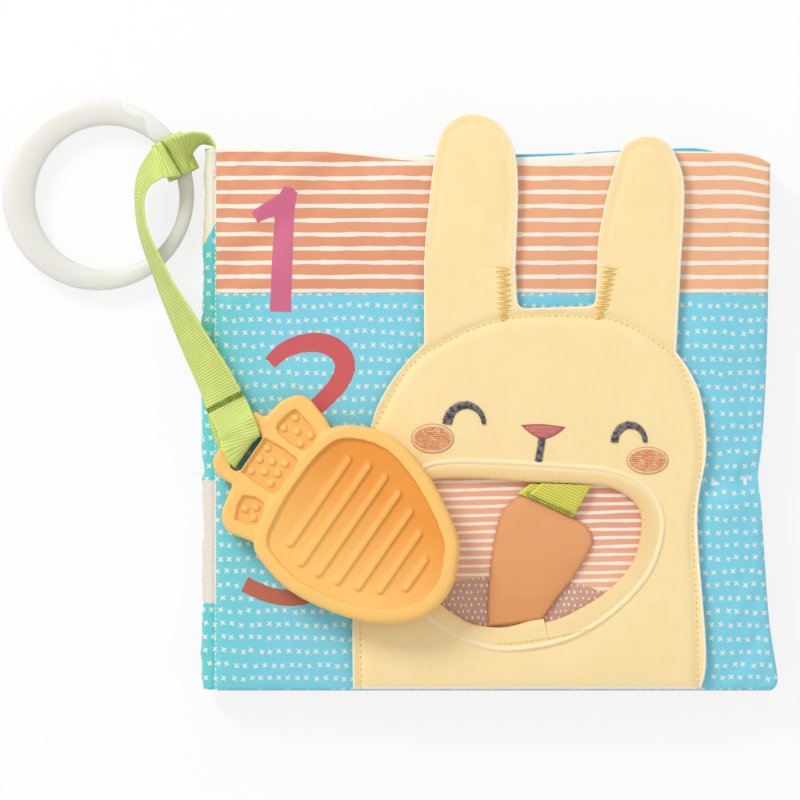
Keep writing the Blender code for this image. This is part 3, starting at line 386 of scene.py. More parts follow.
def smooth(points, corners=(), steps=3, closed=True):
    """Points along a curve through the given ones, which turns sharply only at the corners."""
    points = [Vector(point) for point in points]
    count = len(points)
    found = []
    for index in range(count if closed else count - 1):
        after = (index + 1) % count
        start, end = points[index], points[after]
        before = start if index in corners or (not closed and index == 0) else points[index - 1]
        open_end = not closed and after == count - 1
        beyond = end if after in corners or open_end else points[(after + 1) % count]
        for step in range(steps):
            t = step / steps
            found.append(
                start
                + (end - before) * t / 2
                + (before * 2 - start * 5 + end * 4 - beyond) * t * t / 2
                + (start * 3 - before - end * 3 + beyond) * t**3 / 2
            )
    if not closed:
        found.append(points[-1])
    return found


def turning(points):
    return sum(a.x * b.y - b.x * a.y for a, b in zip(points, points[1:] + points[:1]))


def widened(points, distance):
    """The outline moved outwards by a distance, or inwards by a negative one."""
    side = distance if turning(points) > 0 else -distance
    found = []
    for index, point in enumerate(points):
        before = (point - points[index - 1]).normalized()
        after = (points[(index + 1) % len(points)] - point).normalized()
        along = (before + after).normalized()
        mitre = max(along.dot(after), 0.5)
        found.append(point + Vector((along.y, -along.x)) * side / mitre)
    return found


def even(points, spacing, closed=True):
    """The outline's points set at an even distance from each other."""
    line = np.array([tuple(p) for p in points] + ([tuple(points[0])] if closed else []))
    lengths = np.linalg.norm(np.diff(line, axis=0), axis=1)
    reached = np.concatenate([[0], np.cumsum(lengths)])
    count = max(4, round(reached[-1] / spacing))
    wanted = np.linspace(0, reached[-1], count + 1)
    if closed:
        wanted = wanted[:-1]
    return np.stack([np.interp(wanted, reached, line[:, k]) for k in range(line.shape[1])], axis=1)


def distance_to(points, line, closed=False):
    """How far each point is from a line of points."""
    line = np.asarray(line)
    starts = line if closed else line[:-1]
    ends = np.roll(line, -1, axis=0) if closed else line[1:]
    nearest = np.full(len(points), np.inf)
    for start, end in zip(starts, ends):
        along = end - start
        length = max(float(along @ along), 1e-18)
        t = np.clip(((points - start) @ along) / length, 0, 1)
        gap = points - start - t[:, None] * along
        nearest = np.minimum(nearest, np.einsum("ij,ij->i", gap, gap))
    return np.sqrt(nearest)


def inside(points, outline):
    """Which points lie inside a closed outline."""
    outline = np.asarray(outline)
    found = np.zeros(len(points), bool)
    for (x0, y0), (x1, y1) in zip(outline, np.roll(outline, -1, axis=0)):
        if y0 == y1:
            continue
        crosses = (points[:, 1] > min(y0, y1)) & (points[:, 1] <= max(y0, y1))
        at = x0 + (points[:, 1] - y0) * (x1 - x0) / (y1 - y0)
        found ^= crosses & (points[:, 0] < at)
    return found


def fullness(t, flat):
    outside = np.maximum(0, np.abs(t) - flat) / (1 - flat)
    return np.sqrt(np.maximum(0, 1 - outside**3))


def wave(points, size, seed):
    """Smooth unevenness from -1 to 1 over points of the book's plane."""
    offset = Vector((seed * 3.7, seed * 1.9, seed * 5.3))
    return np.array([noise.noise(Vector((x, y, 0)) / size + offset) for x, y in points]) * 1.6


def link(thing):
    bpy.context.scene.collection.objects.link(thing)
    return thing


def mesh_object(name, vertices, faces, material, smooth_faces=True):
    mesh = bpy.data.meshes.new(name)
    mesh.from_pydata([tuple(v) for v in vertices], [], [tuple(f) for f in faces])
    mesh.polygons.foreach_set("use_smooth", [smooth_faces] * len(mesh.polygons))
    mesh.materials.append(material)
    mesh.update()
    return link(bpy.data.objects.new(name, mesh))


def outward(thing, weld=True):
    """Turns a closed piece's faces outwards, once its doubles are welded."""
    shell = bmesh.new()
    shell.from_mesh(thing.data)
    if weld:
        bmesh.ops.remove_doubles(shell, verts=shell.verts, dist=0.000001)
    bmesh.ops.recalc_face_normals(shell, faces=shell.faces)
    shell.to_mesh(thing.data)
    shell.free()
    return thing


def store(thing, name, values):
    attribute = thing.data.attributes.new(name, "FLOAT", "POINT")
    attribute.data.foreach_set("value", np.asarray(values, np.float32))


def settle(thing, body, slot_name, node=None):
    """Rides a piece on a body's empty, or bakes it in place when it lies between two bodies, and hides the
    solid it stands for. The slot name is not used.
    """
    if isinstance(body, tuple):
        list(body)
        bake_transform(thing)
    else:
        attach(thing, body)
    if node:
        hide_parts(node)
    return thing


def made_plain(thing, name):
    """The object's evaluated shape as a plain mesh of its own, with no modifier left."""
    bpy.context.view_layer.update()
    graph = bpy.context.evaluated_depsgraph_get()
    mesh = bpy.data.meshes.new_from_object(thing.evaluated_get(graph), depsgraph=graph)
    mesh.transform(thing.matrix_world)
    plain = link(bpy.data.objects.new(name, mesh))
    bpy.data.objects.remove(thing)
    plain.name = name
    return plain


# Node trees


def sum_of(operation):
    """A method that joins numbers or sockets by one operation."""
    return lambda self, *values: self.math(operation, *values)


class Nodes:
    """Adds nodes to one tree, and takes numbers, colours or sockets as what goes in."""

    times, plus, minus, over = (sum_of(kind) for kind in ("MULTIPLY", "ADD", "SUBTRACT", "DIVIDE"))
    times_plus, size, whole = (sum_of(kind) for kind in ("MULTIPLY_ADD", "ABSOLUTE", "FLOOR"))
    most, least, power, sine = (sum_of(kind) for kind in ("MAXIMUM", "MINIMUM", "POWER", "SINE"))

    def __init__(self, tree):
        self.tree = tree

    def feed(self, socket, value):
        if isinstance(value, bpy.types.NodeSocket):
            self.tree.links.new(value, socket)
        elif value is not None:
            if socket.type == "RGBA" and len(value) == 3:
                value = (*value, 1)
            socket.default_value = value

    def add(self, kind, inputs=None, **settings):
        node = self.tree.nodes.new(kind)
        for name, value in settings.items():
            setattr(node, name, value)
        for name, value in (inputs or {}).items():
            self.feed(node.inputs[name], value)
        return node

    def math(self, operation, *values, clamp=False):
        node = self.add("ShaderNodeMath", dict(enumerate(values)), operation=operation)
        node.use_clamp = clamp
        return node.outputs[0]

    def vector(self, operation, *values):
        node = self.add("ShaderNodeVectorMath", dict(enumerate(values)), operation=operation)
        return node.outputs["Value" if operation in {"LENGTH", "DOT_PRODUCT", "DISTANCE"} else "Vector"]

    def split(self, vector):
        node = self.add("ShaderNodeSeparateXYZ", {0: vector})
        return node.outputs[0], node.outputs[1], node.outputs[2]

    def join(self, x=0.0, y=0.0, z=0.0):
        return self.add("ShaderNodeCombineXYZ", {0: x, 1: y, 2: z}).outputs[0]

    def mix(self, factor, first, second):
        return self.add("ShaderNodeMix", {0: factor, 6: first, 7: second}, data_type="RGBA").outputs[2]

    def spread(self, value, low, high, to_low=0.0, to_high=1.0):
        """A value between two limits, eased to run between two others."""
        return self.add(
            "ShaderNodeMapRange",
            {"Value": value, "From Min": low, "From Max": high, "To Min": to_low, "To Max": to_high},
            interpolation_type="SMOOTHSTEP",
        ).outputs[0]

    def noise(self, vector, scale, detail=2.0, roughness=0.5):
        return self.add("ShaderNodeTexNoise", {
            "Vector": vector, "Scale": scale, "Detail": detail, "Roughness": roughness}).outputs[0]

    def chance(self, **inputs):
        """A random number for a row, or random numbers for a cell."""
        flat = "Vector" in inputs
        node = self.add("ShaderNodeTexWhiteNoise", inputs, noise_dimensions="2D" if flat else "1D")
        return node.outputs["Color" if flat else "Value"]

    def noted(self, name):
        """What a piece's attribute of that name says."""
        return self.add("ShaderNodeAttribute", attribute_name=name).outputs["Fac"]

    def seen(self):
        """1 for rays from the camera, a mirror or a clear piece."""
        path = self.add("ShaderNodeLightPath").outputs
        return self.most(path["Is Camera Ray"], self.most(path["Is Glossy Ray"], path["Is Transmission Ray"]))

    def group(self, name, **inputs):
        """Results of one of the shared effects."""
        labels = {label.replace("_", " ").capitalize(): value for label, value in inputs.items()}
        return self.add("ShaderNodeGroup", labels, node_tree=effect(name)).outputs


def shader_group(name, inputs, outputs):
    """A new group with its sockets, its node adder, what comes in and where the results go."""
    tree = bpy.data.node_groups.new(name, "ShaderNodeTree")
    kinds = {"vector": "NodeSocketVector", "float": "NodeSocketFloat", "colour": "NodeSocketColor"}
    for label, kind, default in inputs:
        socket = tree.interface.new_socket(label, in_out="INPUT", socket_type=kinds[kind])
        socket.default_value = default
    for label, kind in outputs:
        tree.interface.new_socket(label, in_out="OUTPUT", socket_type=kinds[kind])
    made = Nodes(tree)
    return tree, made, made.add("NodeGroupInput").outputs, made.add("NodeGroupOutput").inputs


def woven_group():
    """Height of a plain weave, with uneven threads."""
    tree, n, given, out = shader_group(
        "Woven cloth", (("Vector", "vector", (0, 0, 0)), ("Pitch", "float", 0.00035)),
        (("Height", "float"),),
    )
    x, y, _ = n.split(given["Vector"])
    turn = n.over(math.tau, given["Pitch"])
    wander = n.times(n.noise(given["Vector"], 90.0), 9.0)
    across = n.sine(n.plus(n.times(x, turn), wander))
    along = n.sine(n.plus(n.times(y, turn), wander))
    weave = n.times(across, along)
    n.feed(out["Height"], n.times_plus(weave, 0.5, 0.5))
    return tree


def nap_group():
    """Fine height and soft shade of a brushed pile."""
    tree, n, given, out = shader_group(
        "Brushed nap", (("Vector", "vector", (0, 0, 0)), ("Scale", "float", 2600.0)),
        (("Height", "float"), ("Shade", "float")),
    )
    fine = n.noise(given["Vector"], given["Scale"], 3.0, 0.7)
    n.feed(out["Height"], fine)
    wide = n.noise(given["Vector"], 75.0, 3.0, 0.55)
    streak = n.noise(n.vector("MULTIPLY", given["Vector"], (1.0, 0.28, 1.0)), 420.0, 2.0, 0.6)
    both = n.times_plus(streak, 0.35, n.times(wide, 0.65))
    n.feed(out["Shade"], n.spread(both, 0.34, 0.66))
    return tree


def rib_group():
    """Height of parallel ribs and a mask of the grooves between them."""
    tree, n, given, out = shader_group(
        "Thread ribs", (("Along", "float", 0.0), ("Pitch", "float", 0.0006)),
        (("Height", "float"), ("Groove", "float")),
    )
    ridge = n.size(n.sine(n.times(math.pi, n.over(given["Along"], given["Pitch"]))))
    n.feed(out["Height"], n.power(ridge, 0.6))
    n.feed(out["Groove"], n.spread(ridge, 0.55, 0.1))
    return tree


def stripe_group():
    """Mask of hand-drawn lines that run across, one to each pitch."""
    tree, n, given, out = shader_group(
        "Painted stripes",
        (("Vector", "vector", (0, 0, 0)), ("Pitch", "float", 0.0045), ("Line", "float", 0.0013),
         ("Wobble", "float", 0.0005)),
        (("Mask", "float"),),
    )
    x, y, _ = n.split(given["Vector"])
    row = n.math("ROUND", n.over(y, given["Pitch"]))
    local = n.minus(y, n.times(row, given["Pitch"]))
    own = n.join(n.times(x, 55.0), n.times(row, 7.3))
    sway = n.times(n.minus(n.noise(own, 1.0, 1.0), 0.5), given["Wobble"])
    other = n.join(n.times(x, 160.0), n.times_plus(row, 3.1, 40.0))
    uneven = n.spread(n.noise(other, 1.0, 2.0), 0.3, 0.7, 0.42, 0.60)
    away = n.size(n.times_plus(sway, 2.6, local))
    edge = n.minus(away, n.times(given["Line"], uneven))
    n.feed(out["Mask"], n.spread(edge, 0.0001, -0.0001))
    return tree


def cross_group():
    """Mask of small hand-drawn crosses in loose rows."""
    tree, n, given, out = shader_group(
        "Cross print",
        (("Vector", "vector", (0, 0, 0)), ("Row", "float", 0.0043), ("Step", "float", 0.0037),
         ("Size", "float", 0.0015)),
        (("Mask", "float"),),
    )
    x, y, _ = n.split(given["Vector"])
    bend = n.times(n.minus(n.noise(given["Vector"], 45.0, 1.0), 0.5), 0.0016)
    down = n.over(n.plus(y, bend), given["Row"])
    row = n.whole(down)
    shift = n.chance(W=row)
    over = n.plus(n.over(x, given["Step"]), n.times(shift, 5.0))
    column = n.whole(over)
    jx, jy, jz = n.split(n.chance(Vector=n.join(column, row)))
    lx = n.minus(n.minus(over, column), n.spread(jx, 0.0, 1.0, 0.40, 0.60))
    ly = n.minus(n.minus(down, row), n.spread(jy, 0.0, 1.0, 0.42, 0.58))
    lx = n.times(lx, given["Step"])
    ly = n.times(ly, given["Row"])
    turn = n.times(n.minus(jz, 0.5), 0.7)
    px = n.plus(lx, n.times(ly, turn))
    py = n.minus(ly, n.times(lx, turn))
    reach = n.minus(n.most(n.size(px), n.size(py)), n.times(given["Size"], 0.5))
    first = n.size(n.plus(px, py))
    second = n.size(n.minus(px, py))
    limb = n.minus(n.least(first, second), n.times(given["Size"], 0.23))
    edge = n.most(reach, limb)
    n.feed(out["Mask"], n.times(n.spread(edge, 0.00016, -0.00016), 0.9))
    return tree


def seed_group():
    """Mask of short upright dashes in staggered rows."""
    tree, n, given, out = shader_group(
        "Seed print",
        (("Vector", "vector", (0, 0, 0)), ("Row", "float", 0.0015), ("Step", "float", 0.0018),
         ("Size", "float", 0.0004)),
        (("Mask", "float"),),
    )
    x, y, _ = n.split(given["Vector"])
    down = n.over(y, given["Row"])
    row = n.whole(down)
    over = n.times_plus(row, 0.5, n.over(x, given["Step"]))
    column = n.whole(over)
    jx, jy, jz = n.split(n.chance(Vector=n.join(column, row)))
    lx = n.minus(n.minus(over, column), n.spread(jx, 0.0, 1.0, 0.36, 0.64))
    ly = n.minus(n.minus(down, row), n.spread(jy, 0.0, 1.0, 0.42, 0.58))
    long = n.join(n.times(lx, given["Step"]), n.times(n.times(ly, given["Row"]), 0.62))
    edge = n.minus(n.vector("LENGTH", long), n.times(given["Size"], n.spread(jz, 0.0, 1.0, 0.38, 0.56)))
    n.feed(out["Mask"], n.spread(edge, 0.0001, -0.0001))
    return tree


def stroke_group():
    """Distance from a brush stroke with blunt ends between two points, below zero inside it."""
    tree, n, given, out = shader_group(
        "Brush stroke",
        (("Vector", "vector", (0, 0, 0)), ("Start", "vector", (0, 0, 0)), ("End", "vector", (0, 0, 0)),
         ("Start half", "float", 0.003), ("End half", "float", 0.003), ("Blunt start", "float", 0.0),
         ("Blunt end", "float", 0.0)),
        (("Distance", "float"),),
    )
    flat = n.vector("MULTIPLY", given["Vector"], (1.0, 1.0, 0.0))
    run = n.vector("SUBTRACT", given["End"], given["Start"])
    away = n.vector("SUBTRACT", flat, given["Start"])
    share = n.math("DIVIDE", n.vector("DOT_PRODUCT", away, run), n.vector("DOT_PRODUCT", run, run),
                   clamp=True)
    scaled = n.add("ShaderNodeVectorMath", {0: run, "Scale": share}, operation="SCALE").outputs[0]
    gap = n.vector("LENGTH", n.vector("SUBTRACT", away, scaled))
    half = n.times_plus(share, n.minus(given["End half"], given["Start half"]), given["Start half"])
    length = n.vector("LENGTH", run)
    along = n.over(n.vector("DOT_PRODUCT", away, run), length)
    before = n.times_plus(n.minus(given["Blunt start"], 1.0), 1.0, n.times(along, -1.0))
    beyond = n.plus(n.minus(given["Blunt end"], 1.0), n.minus(along, length))
    round_gap = n.minus(gap, half)
    n.feed(out["Distance"], n.most(round_gap, n.most(before, beyond)))
    return tree


GROUP_MAKERS = {
    "Woven cloth": woven_group, "Brushed nap": nap_group, "Thread ribs": rib_group,
    "Painted stripes": stripe_group, "Cross print": cross_group, "Brush stroke": stroke_group,
    "Seed print": seed_group,
}


def effect(name):
    return bpy.data.node_groups.get(name) or GROUP_MAKERS[name]()


def toned(colour, share):
    """A colour made darker or lighter by a share, or by one share for each channel."""
    shares = share if isinstance(share, tuple) else (share,) * 3
    return tuple(c * s for c, s in zip(colour, shares))


def ink(name, share=1.0):
    """A share of one of the book's colours."""
    return toned(getattr(bpy.context.scene.book_colours, name), share)


def look(name, paint, roughness=0.6, sheen=0.0, **shader):
    """A material whose paint function gives colour, height, bump distance and maybe roughness."""
    made = bpy.data.materials.get(name)
    if made:
        return made
    made = bpy.data.materials.new(name)
    made.use_nodes = True
    tree = made.node_tree
    tree.nodes.clear()
    n = Nodes(tree)
    principled = n.add("ShaderNodeBsdfPrincipled")
    end = n.add("ShaderNodeOutputMaterial")
    tree.links.new(principled.outputs[0], end.inputs[0])
    position = n.add("ShaderNodeTexCoord").outputs["Object"]
    result = paint(n, position)
    n.feed(principled.inputs["Base Color"], result["colour"])
    n.feed(principled.inputs["Roughness"], result.get("roughness", roughness))
    principled.inputs["Sheen Weight"].default_value = sheen
    principled.inputs["Sheen Roughness"].default_value = 0.5
    for label, value in shader.items():
        n.feed(principled.inputs[label.replace("_", " ").title().replace("Ior", "IOR")], value)
    if "height" in result:
        bump = n.add("ShaderNodeBump", {"Height": result["height"], "Distance": result["distance"],
                                        "Strength": result.get("strength", 1.0)})
        tree.links.new(bump.outputs[0], principled.inputs["Normal"])
    return made


def numeral_mask(n, position, strokes):
    """Mask of one painted numeral, whose edge is a little rough."""
    nearest = None
    for stroke in strokes:
        fine = smooth([Vector((*point, half)) for point, half in stroke], (), 2, closed=False)
        last = len(fine) - 2
        for index, (start, end) in enumerate(zip(fine, fine[1:])):
            gap = n.group("Brush stroke", vector=position, start=(*place(start[:2]), 0),
                          end=(*place(end[:2]), 0), start_half=pixels_long(start[2]),
                          end_half=pixels_long(end[2]),
                          blunt_start=float(index == 0), blunt_end=float(index == last))[0]
            nearest = gap if nearest is None else n.least(nearest, gap)
    rough = n.times(n.minus(n.noise(position, 900.0, 2.0), 0.5), 0.0003)
    return n.spread(n.plus(nearest, rough), 0.00012, -0.00012)


def crinkled(n, position, fine):
    """Height of the satin: its weave, and the small creases of the film below."""
    weave = n.group("Woven cloth", vector=position, pitch=fine)[0]
    crease = n.size(n.minus(n.noise(position, 60.0, 3.0, 0.6), 0.5))
    return n.times_plus(weave, 0.10, n.times(crease, 2.2))


def satin(n, position, colour, distance=0.0009, strength=0.35):
    """The answer of every satin's paint: its print and its crinkles."""
    return {"colour": colour, "height": crinkled(n, position, 0.00035), "distance": distance,
            "strength": strength}


def crosses(n, position, ground, mark):
    sizes = bpy.context.scene.book_sizes
    mask = n.group("Cross print", vector=position, row=sizes.cross_row, step=sizes.cross_step,
                   size=sizes.cross_size)[0]
    tone = n.mix(n.noise(position, 30.0, 2.0), toned(ground, 0.93), ground)
    return n.mix(mask, tone, mark)


def stripes(n, position, ground, mark, pitch, line):
    mask = n.group("Painted stripes", vector=position, pitch=pitch, line=line, wobble=STRIPE_SWAY)[0]
    return n.mix(mask, ground, mark)


def front_print(n, position):
    """Cream lines on orange over cream crosses on sky, with three painted numerals."""
    sizes = bpy.context.scene.book_sizes
    x, y, _ = n.split(position)
    corner = n.times(n.spread(x, at_column(732), at_column(776)), n.spread(y, at_row(270), at_row(160)))
    flat = n.join(x, n.times_plus(corner, 0.0018, y))
    row = n.math("ROUND", n.over(n.minus(n.split(flat)[1], 0.0022), sizes.stripe_pitch))
    each = n.chance(W=row)
    soft = n.noise(n.join(n.times(x, 18.0), n.times(row, 5.1)), 1.0, 1.0)
    tone = n.times_plus(n.minus(n.plus(each, soft), 1.0), 0.22, n.spread(x, -0.07, 0.09))
    warm = n.mix(n.math("MAXIMUM", 0.0, tone, clamp=True), ink("orange"), linear(240, 180, 136))
    shifted = n.vector("ADD", flat, (0.0, -at_row(149.6), 0.0))
    upper = stripes(n, shifted, warm, ink("cream"), sizes.stripe_pitch, sizes.stripe_line)
    rising = n.spread(x, at_column(280), at_column(480))
    falling = n.spread(x, at_column(600), at_column(668))
    seam = n.times_plus(rising, -pixels_long(15.3), at_row(151))
    seam = n.times_plus(falling, pixels_long(12.3), seam)
    seam = n.plus(seam, n.times(n.noise(n.join(x), 90.0, 2.0), 0.0006))
    band = n.spread(n.minus(n.split(flat)[1], seam), -0.0001, 0.0002)
    upper = n.mix(band, upper, ink("cream"))
    lower = crosses(n, position, ink("sky"), ink("cream"))
    greener = n.times(n.spread(x, at_column(300), at_column(216)), 0.5)
    lower = n.mix(greener, lower, crosses(n, position, ink("teal"), ink("cream")))
    border = at_row(293)
    waver = n.times(n.minus(n.noise(n.join(x), 60.0, 2.0), 0.5), 0.0006)
    level = n.plus(y, waver)
    colour = n.mix(n.spread(level, border - 0.0001, border + 0.0001), lower, upper)
    line = n.spread(n.size(n.minus(level, border)), 0.00028, 0.0001)
    colour = n.mix(n.times(line, 0.6), colour, linear(196, 128, 92))
    for numeral, strokes in NUMERALS.items():
        colour = n.mix(numeral_mask(n, position, strokes), colour, ink(f"numeral_{numeral}"))
    hinge = n.spread(x, at_column(216.2), at_column(215.8))
    colour = n.mix(hinge, colour, spine_print(n, position)["colour"])
    return satin(n, position, colour)


def spine_print(n, position):
    """Blocks of the prints' colours, with curved borders, one above the other, the lower cream patch darkened
    as painted shade on the roll.
    """
    x, y, _ = n.split(position)
    bend = n.plus(y, n.times(n.minus(n.noise(position, 40.0), 0.5), 0.004))
    slope = n.times_plus(x, -1.6, n.minus(bend, 0.1403))
    sky = crosses(n, position, ink("teal"), ink("cream"))
    colour = n.mix(n.spread(slope, 0.0617, 0.0620), sky, ink("cream"))
    # Painted shade: the cream patch darkened where the roll's side is in shade
    patch = n.times(n.spread(bend, at_row(479), at_row(481)), n.spread(bend, at_row(604), at_row(602)))
    colour = n.mix(patch, colour, ink("cream", 0.86))
    yellow = n.times(n.spread(x, at_column(207), at_column(204)), n.spread(slope, 0.0617, 0.0620))
    colour = n.mix(n.times(yellow, 0.6), colour, linear(246, 228, 150))
    lime = n.spread(bend, at_row(148), at_row(147))
    colour = n.mix(lime, colour, ink("page_lime"))
    return satin(n, position, colour)


def page_print(ground, mark, kind):
    """One of the plain prints inside the book: crosses, stripes, dots or hills."""

    def paint(n, position):
        if kind == "crosses":
            colour = crosses(n, position, ground, mark)
        elif kind == "stripes":
            colour = stripes(n, position, ground, mark, 0.0082, 0.0022)
        elif kind == "dots":
            cells = n.add("ShaderNodeTexVoronoi", {"Vector": position, "Scale": 95.0, "Randomness": 0.55})
            colour = n.mix(n.spread(cells.outputs["Distance"], 0.2, 0.17), ground, mark)
        else:
            x, y, _ = n.split(position)
            hill = n.times(n.sine(n.times_plus(x, 42.0, 0.6)), 0.013)
            low = n.spread(n.minus(y, hill), -0.0201, -0.0204)
            colour = crosses(n, position, ground, mark)
            colour = n.mix(low, colour, stripes(n, position, mark, ground, 0.0060, 0.0016))
        return satin(n, position, colour, 0.0008)

    return paint


def velour_paint(n, position):
    """Yellow pile with a pale cut edge, which the piece's rim attribute places."""
    nap = n.group("Brushed nap", vector=position)
    rim = n.noted("rim")
    pile = n.mix(nap["Shade"], ink("velour", (0.98, 0.965, 0.93)), ink("velour"))
    fray = n.times(n.noise(position, 1500.0, 2.0), 0.0004)
    pale = n.spread(n.plus(rim, fray), 0.0010, 0.0005)
    colour = n.mix(pale, pile, ink("velour_edge"))
    return {"colour": colour, "height": nap["Height"], "distance": 0.00022, "strength": 0.6}


def ribbing_paint(n, position):
    """The binding's velour: fine grooves across it with painted shade in them, a painted highlight along its
    crest, and painted shade, warmer and darker, on its inner side.
    """
    nap = n.group("Brushed nap", vector=position)
    groove = n.noted("groove")
    crest = n.noted("crest")
    inner = n.noted("inner")
    # Painted shade on the inner slope, warmer and darker
    warm = n.mix(inner, ink("velour"), linear(244, 206, 146))
    # Painted shade in the grooves between the ribs
    colour = n.mix(n.times(groove, 0.38), warm, linear(226, 176, 108))
    # Painted highlight along the crest and the lap's raised edge
    colour = n.mix(n.times(crest, 0.35), colour, ink("velour_edge"))
    return {"colour": colour, "height": nap["Height"], "distance": 0.0002, "strength": 0.6}


def wool_paint(shade):
    """Loose fibres of a filling or a lining."""

    def paint(n, position):
        fibre = n.noise(position, 1400.0, 4.0, 0.7)
        return {"colour": n.mix(fibre, toned(shade, 0.88), shade), "height": fibre, "distance": 0.0002}

    return paint


def film_paint(n, position):
    fold = n.size(n.minus(n.noise(position, 130.0, 3.0), 0.5))
    return {"colour": n.mix(fold, (0.80, 0.84, 0.87), (0.93, 0.95, 0.96)), "height": fold,
            "distance": 0.0008}


def thread_paint(shade, gloss=1.25):
    """Sewing thread that runs from a darker copy of itself to a painted highlight, which gloss sets, from one
    stitch to the next.
    """

    def paint(n, position):
        tone = n.noise(position, 700.0, 2.0)
        # Painted highlight: the thread lightened by gloss
        light = tuple(min(1, c * gloss + 0.02) for c in shade)
        twist = n.noise(position, 3800.0, 1.0)
        return {"colour": n.mix(n.spread(tone, 0.3, 0.7), toned(shade, 0.85), light),
                "height": twist, "distance": 0.0001}

    return paint


def grosgrain_paint(tint, depth):
    """Ribs straight across the ribbon between two plain edges, from the ribbon's own map, with painted shade
    in the grooves between the ribs.
    """

    def paint(n, position):
        shade = tuple(min(1, c) for c in ink("ribbon", tint))
        along, across, _ = n.split(n.add("ShaderNodeUVMap", uv_map="ribbon").outputs[0])
        metres = n.times(along, 0.1)
        ribs = n.group("Thread ribs", along=metres, pitch=bpy.context.scene.book_sizes.rib_pitch)
        off_middle = n.size(n.minus(across, 0.5))
        selvedge = n.spread(off_middle, 0.43, 0.465)
        tone = n.noise(position, 160.0, 2.0)
        ground = n.mix(n.spread(tone, 0.3, 0.7), toned(shade, 0.92), shade)
        # Painted shade in the grooves between the ribs, as strong as depth says
        dark = n.mix(n.times(ribs["Groove"], depth), ground, toned(shade, 0.62))
        colour = n.mix(n.times(selvedge, 0.6), dark, tuple(min(1, c * 1.12) for c in shade))
        ridge = n.times(ribs["Height"], n.minus(1.0, n.times(selvedge, 0.5)))
        return {"colour": colour, "height": n.plus(ridge, n.times(selvedge, 0.6)), "distance": 0.00022}

    return paint


def pocket_print(n, position):
    """Fine pale lines on peach over a mound of dotted soil, with painted shade, pinker and darker, towards
    the upper right under the binding.
    """
    sizes = bpy.context.scene.book_sizes
    x, y, _ = n.split(position)
    lean = n.vector("ADD", n.join(x, n.times_plus(x, -0.021, y)), (0.0, 0.00073, 0.0))
    # Painted shade under the binding: pinker and darker towards the upper right
    shade_under_binding = n.spread(n.times_plus(x, 0.5, y), -0.034, 0.004)
    ground = n.mix(shade_under_binding, ink("peach"), linear(226, 150, 124))
    colour = stripes(n, lean, ground, linear(252, 238, 222), sizes.pocket_pitch, sizes.pocket_line)
    peak = place((512, 575.5))
    away = n.minus(x, peak.x)
    slope = n.times_plus(n.times(away, away), -6.2, peak.y)
    soil = n.spread(n.minus(y, slope), 0.0001, -0.0001)
    seeds = n.group("Seed print", vector=position, row=0.00205, step=0.0018, size=0.00058)[0]
    earth = n.mix(n.noise(position, 120.0, 2.0), ink("soil", 0.95), ink("soil"))
    colour = n.mix(soil, colour, n.mix(seeds, earth, linear(244, 228, 214)))
    return satin(n, position, colour, 0.0006, 0.3)


def carrot_paint(n, position):
    """The carrot's cloth: mottled, darker and more orange towards its lower end, with a darker rim."""
    rim = n.noted("rim")
    higher = n.spread(n.split(position)[1], at_row(610), at_row(530))
    tone = n.times_plus(n.noise(position, 55.0, 2.0), 0.6, n.times(higher, 0.5))
    colour = n.mix(tone, ink("carrot", (0.95, 0.86, 0.72)), ink("carrot"))
    colour = n.mix(n.spread(rim, 0.0011, 0.0003, 0.0, 0.45), colour, ink("carrot", 0.7))
    weave = n.group("Woven cloth", vector=position, pitch=0.0004)[0]
    return {"colour": colour, "height": weave, "distance": 0.00008}


def patch_paint(shade, light, border, pale):
    """Rows of thread in an outline, which the rim attribute places, with painted shade between the rows and a
    pale ring if one is asked.
    """

    def paint(n, position):
        rim = n.noted("rim")
        y = n.split(position)[1]
        row = n.plus(y, n.times(n.noise(position, 900.0), 0.0003))
        ribs = n.group("Thread ribs", along=row, pitch=0.0006)
        short = n.noise(n.vector("MULTIPLY", position, (0.5, 1.5, 1.0)), 1900.0, 2.0)
        fill = n.mix(n.spread(short, 0.44, 0.64), shade, light)
        # Painted shade between the rows of thread
        fill = n.mix(n.times(ribs["Groove"], 0.3), fill, toned(shade, 0.7))
        sway = n.times(n.minus(n.noise(position, 420.0), 0.5), 0.0007)
        wander = n.plus(rim, sway)
        if pale:
            colour = n.mix(n.spread(wander, 0.00125, 0.00105), fill, border)
            colour = n.mix(n.spread(wander, 0.0010, 0.0008), colour, pale)
            colour = n.mix(n.spread(rim, 0.00042, 0.0003), colour, border)
        else:
            colour = n.mix(n.spread(rim, 0.00055, 0.0003), fill, border)
        return {"colour": colour, "height": n.plus(ribs["Height"], short), "distance": 0.00018}

    return paint


def plastic_paint(n, position):
    cloud = n.noise(position, 55.0, 2.0)
    fine = n.noise(position, 900.0, 2.0)
    thick = n.mix(cloud, ink("ring", (0.97, 0.955, 0.93)), ink("ring"))
    side = n.noted("side")
    near = n.noted("near")
    beyond = n.times(n.spread(side, -0.02, 0.02), near)
    colour = n.mix(beyond, thick, linear(254, 252, 240))
    line = n.spread(n.size(side), 0.045, 0.015)
    colour = n.mix(n.times(line, 0.35), colour, linear(206, 202, 194))
    return {"colour": colour, "roughness": n.spread(cloud, 0.2, 0.8, 0.3, 0.4),
            "height": n.times_plus(line, -2.0, fine), "distance": 0.00006}


def silicone_paint(n, position):
    cloud = n.noise(position, 70.0, 2.0)
    grain = n.noise(position, 2400.0, 3.0)
    sunk = n.noted("sunk")
    ground = n.mix(cloud, ink("silicone", 0.97), ink("silicone"))
    # Painted shade in the hollow and the pockets, in a darker orange
    return {"colour": n.mix(sunk, ground, linear(237, 156, 62)),
            "roughness": n.spread(grain, 0.2, 0.8, 0.40, 0.50), "height": grain, "distance": 0.00004}


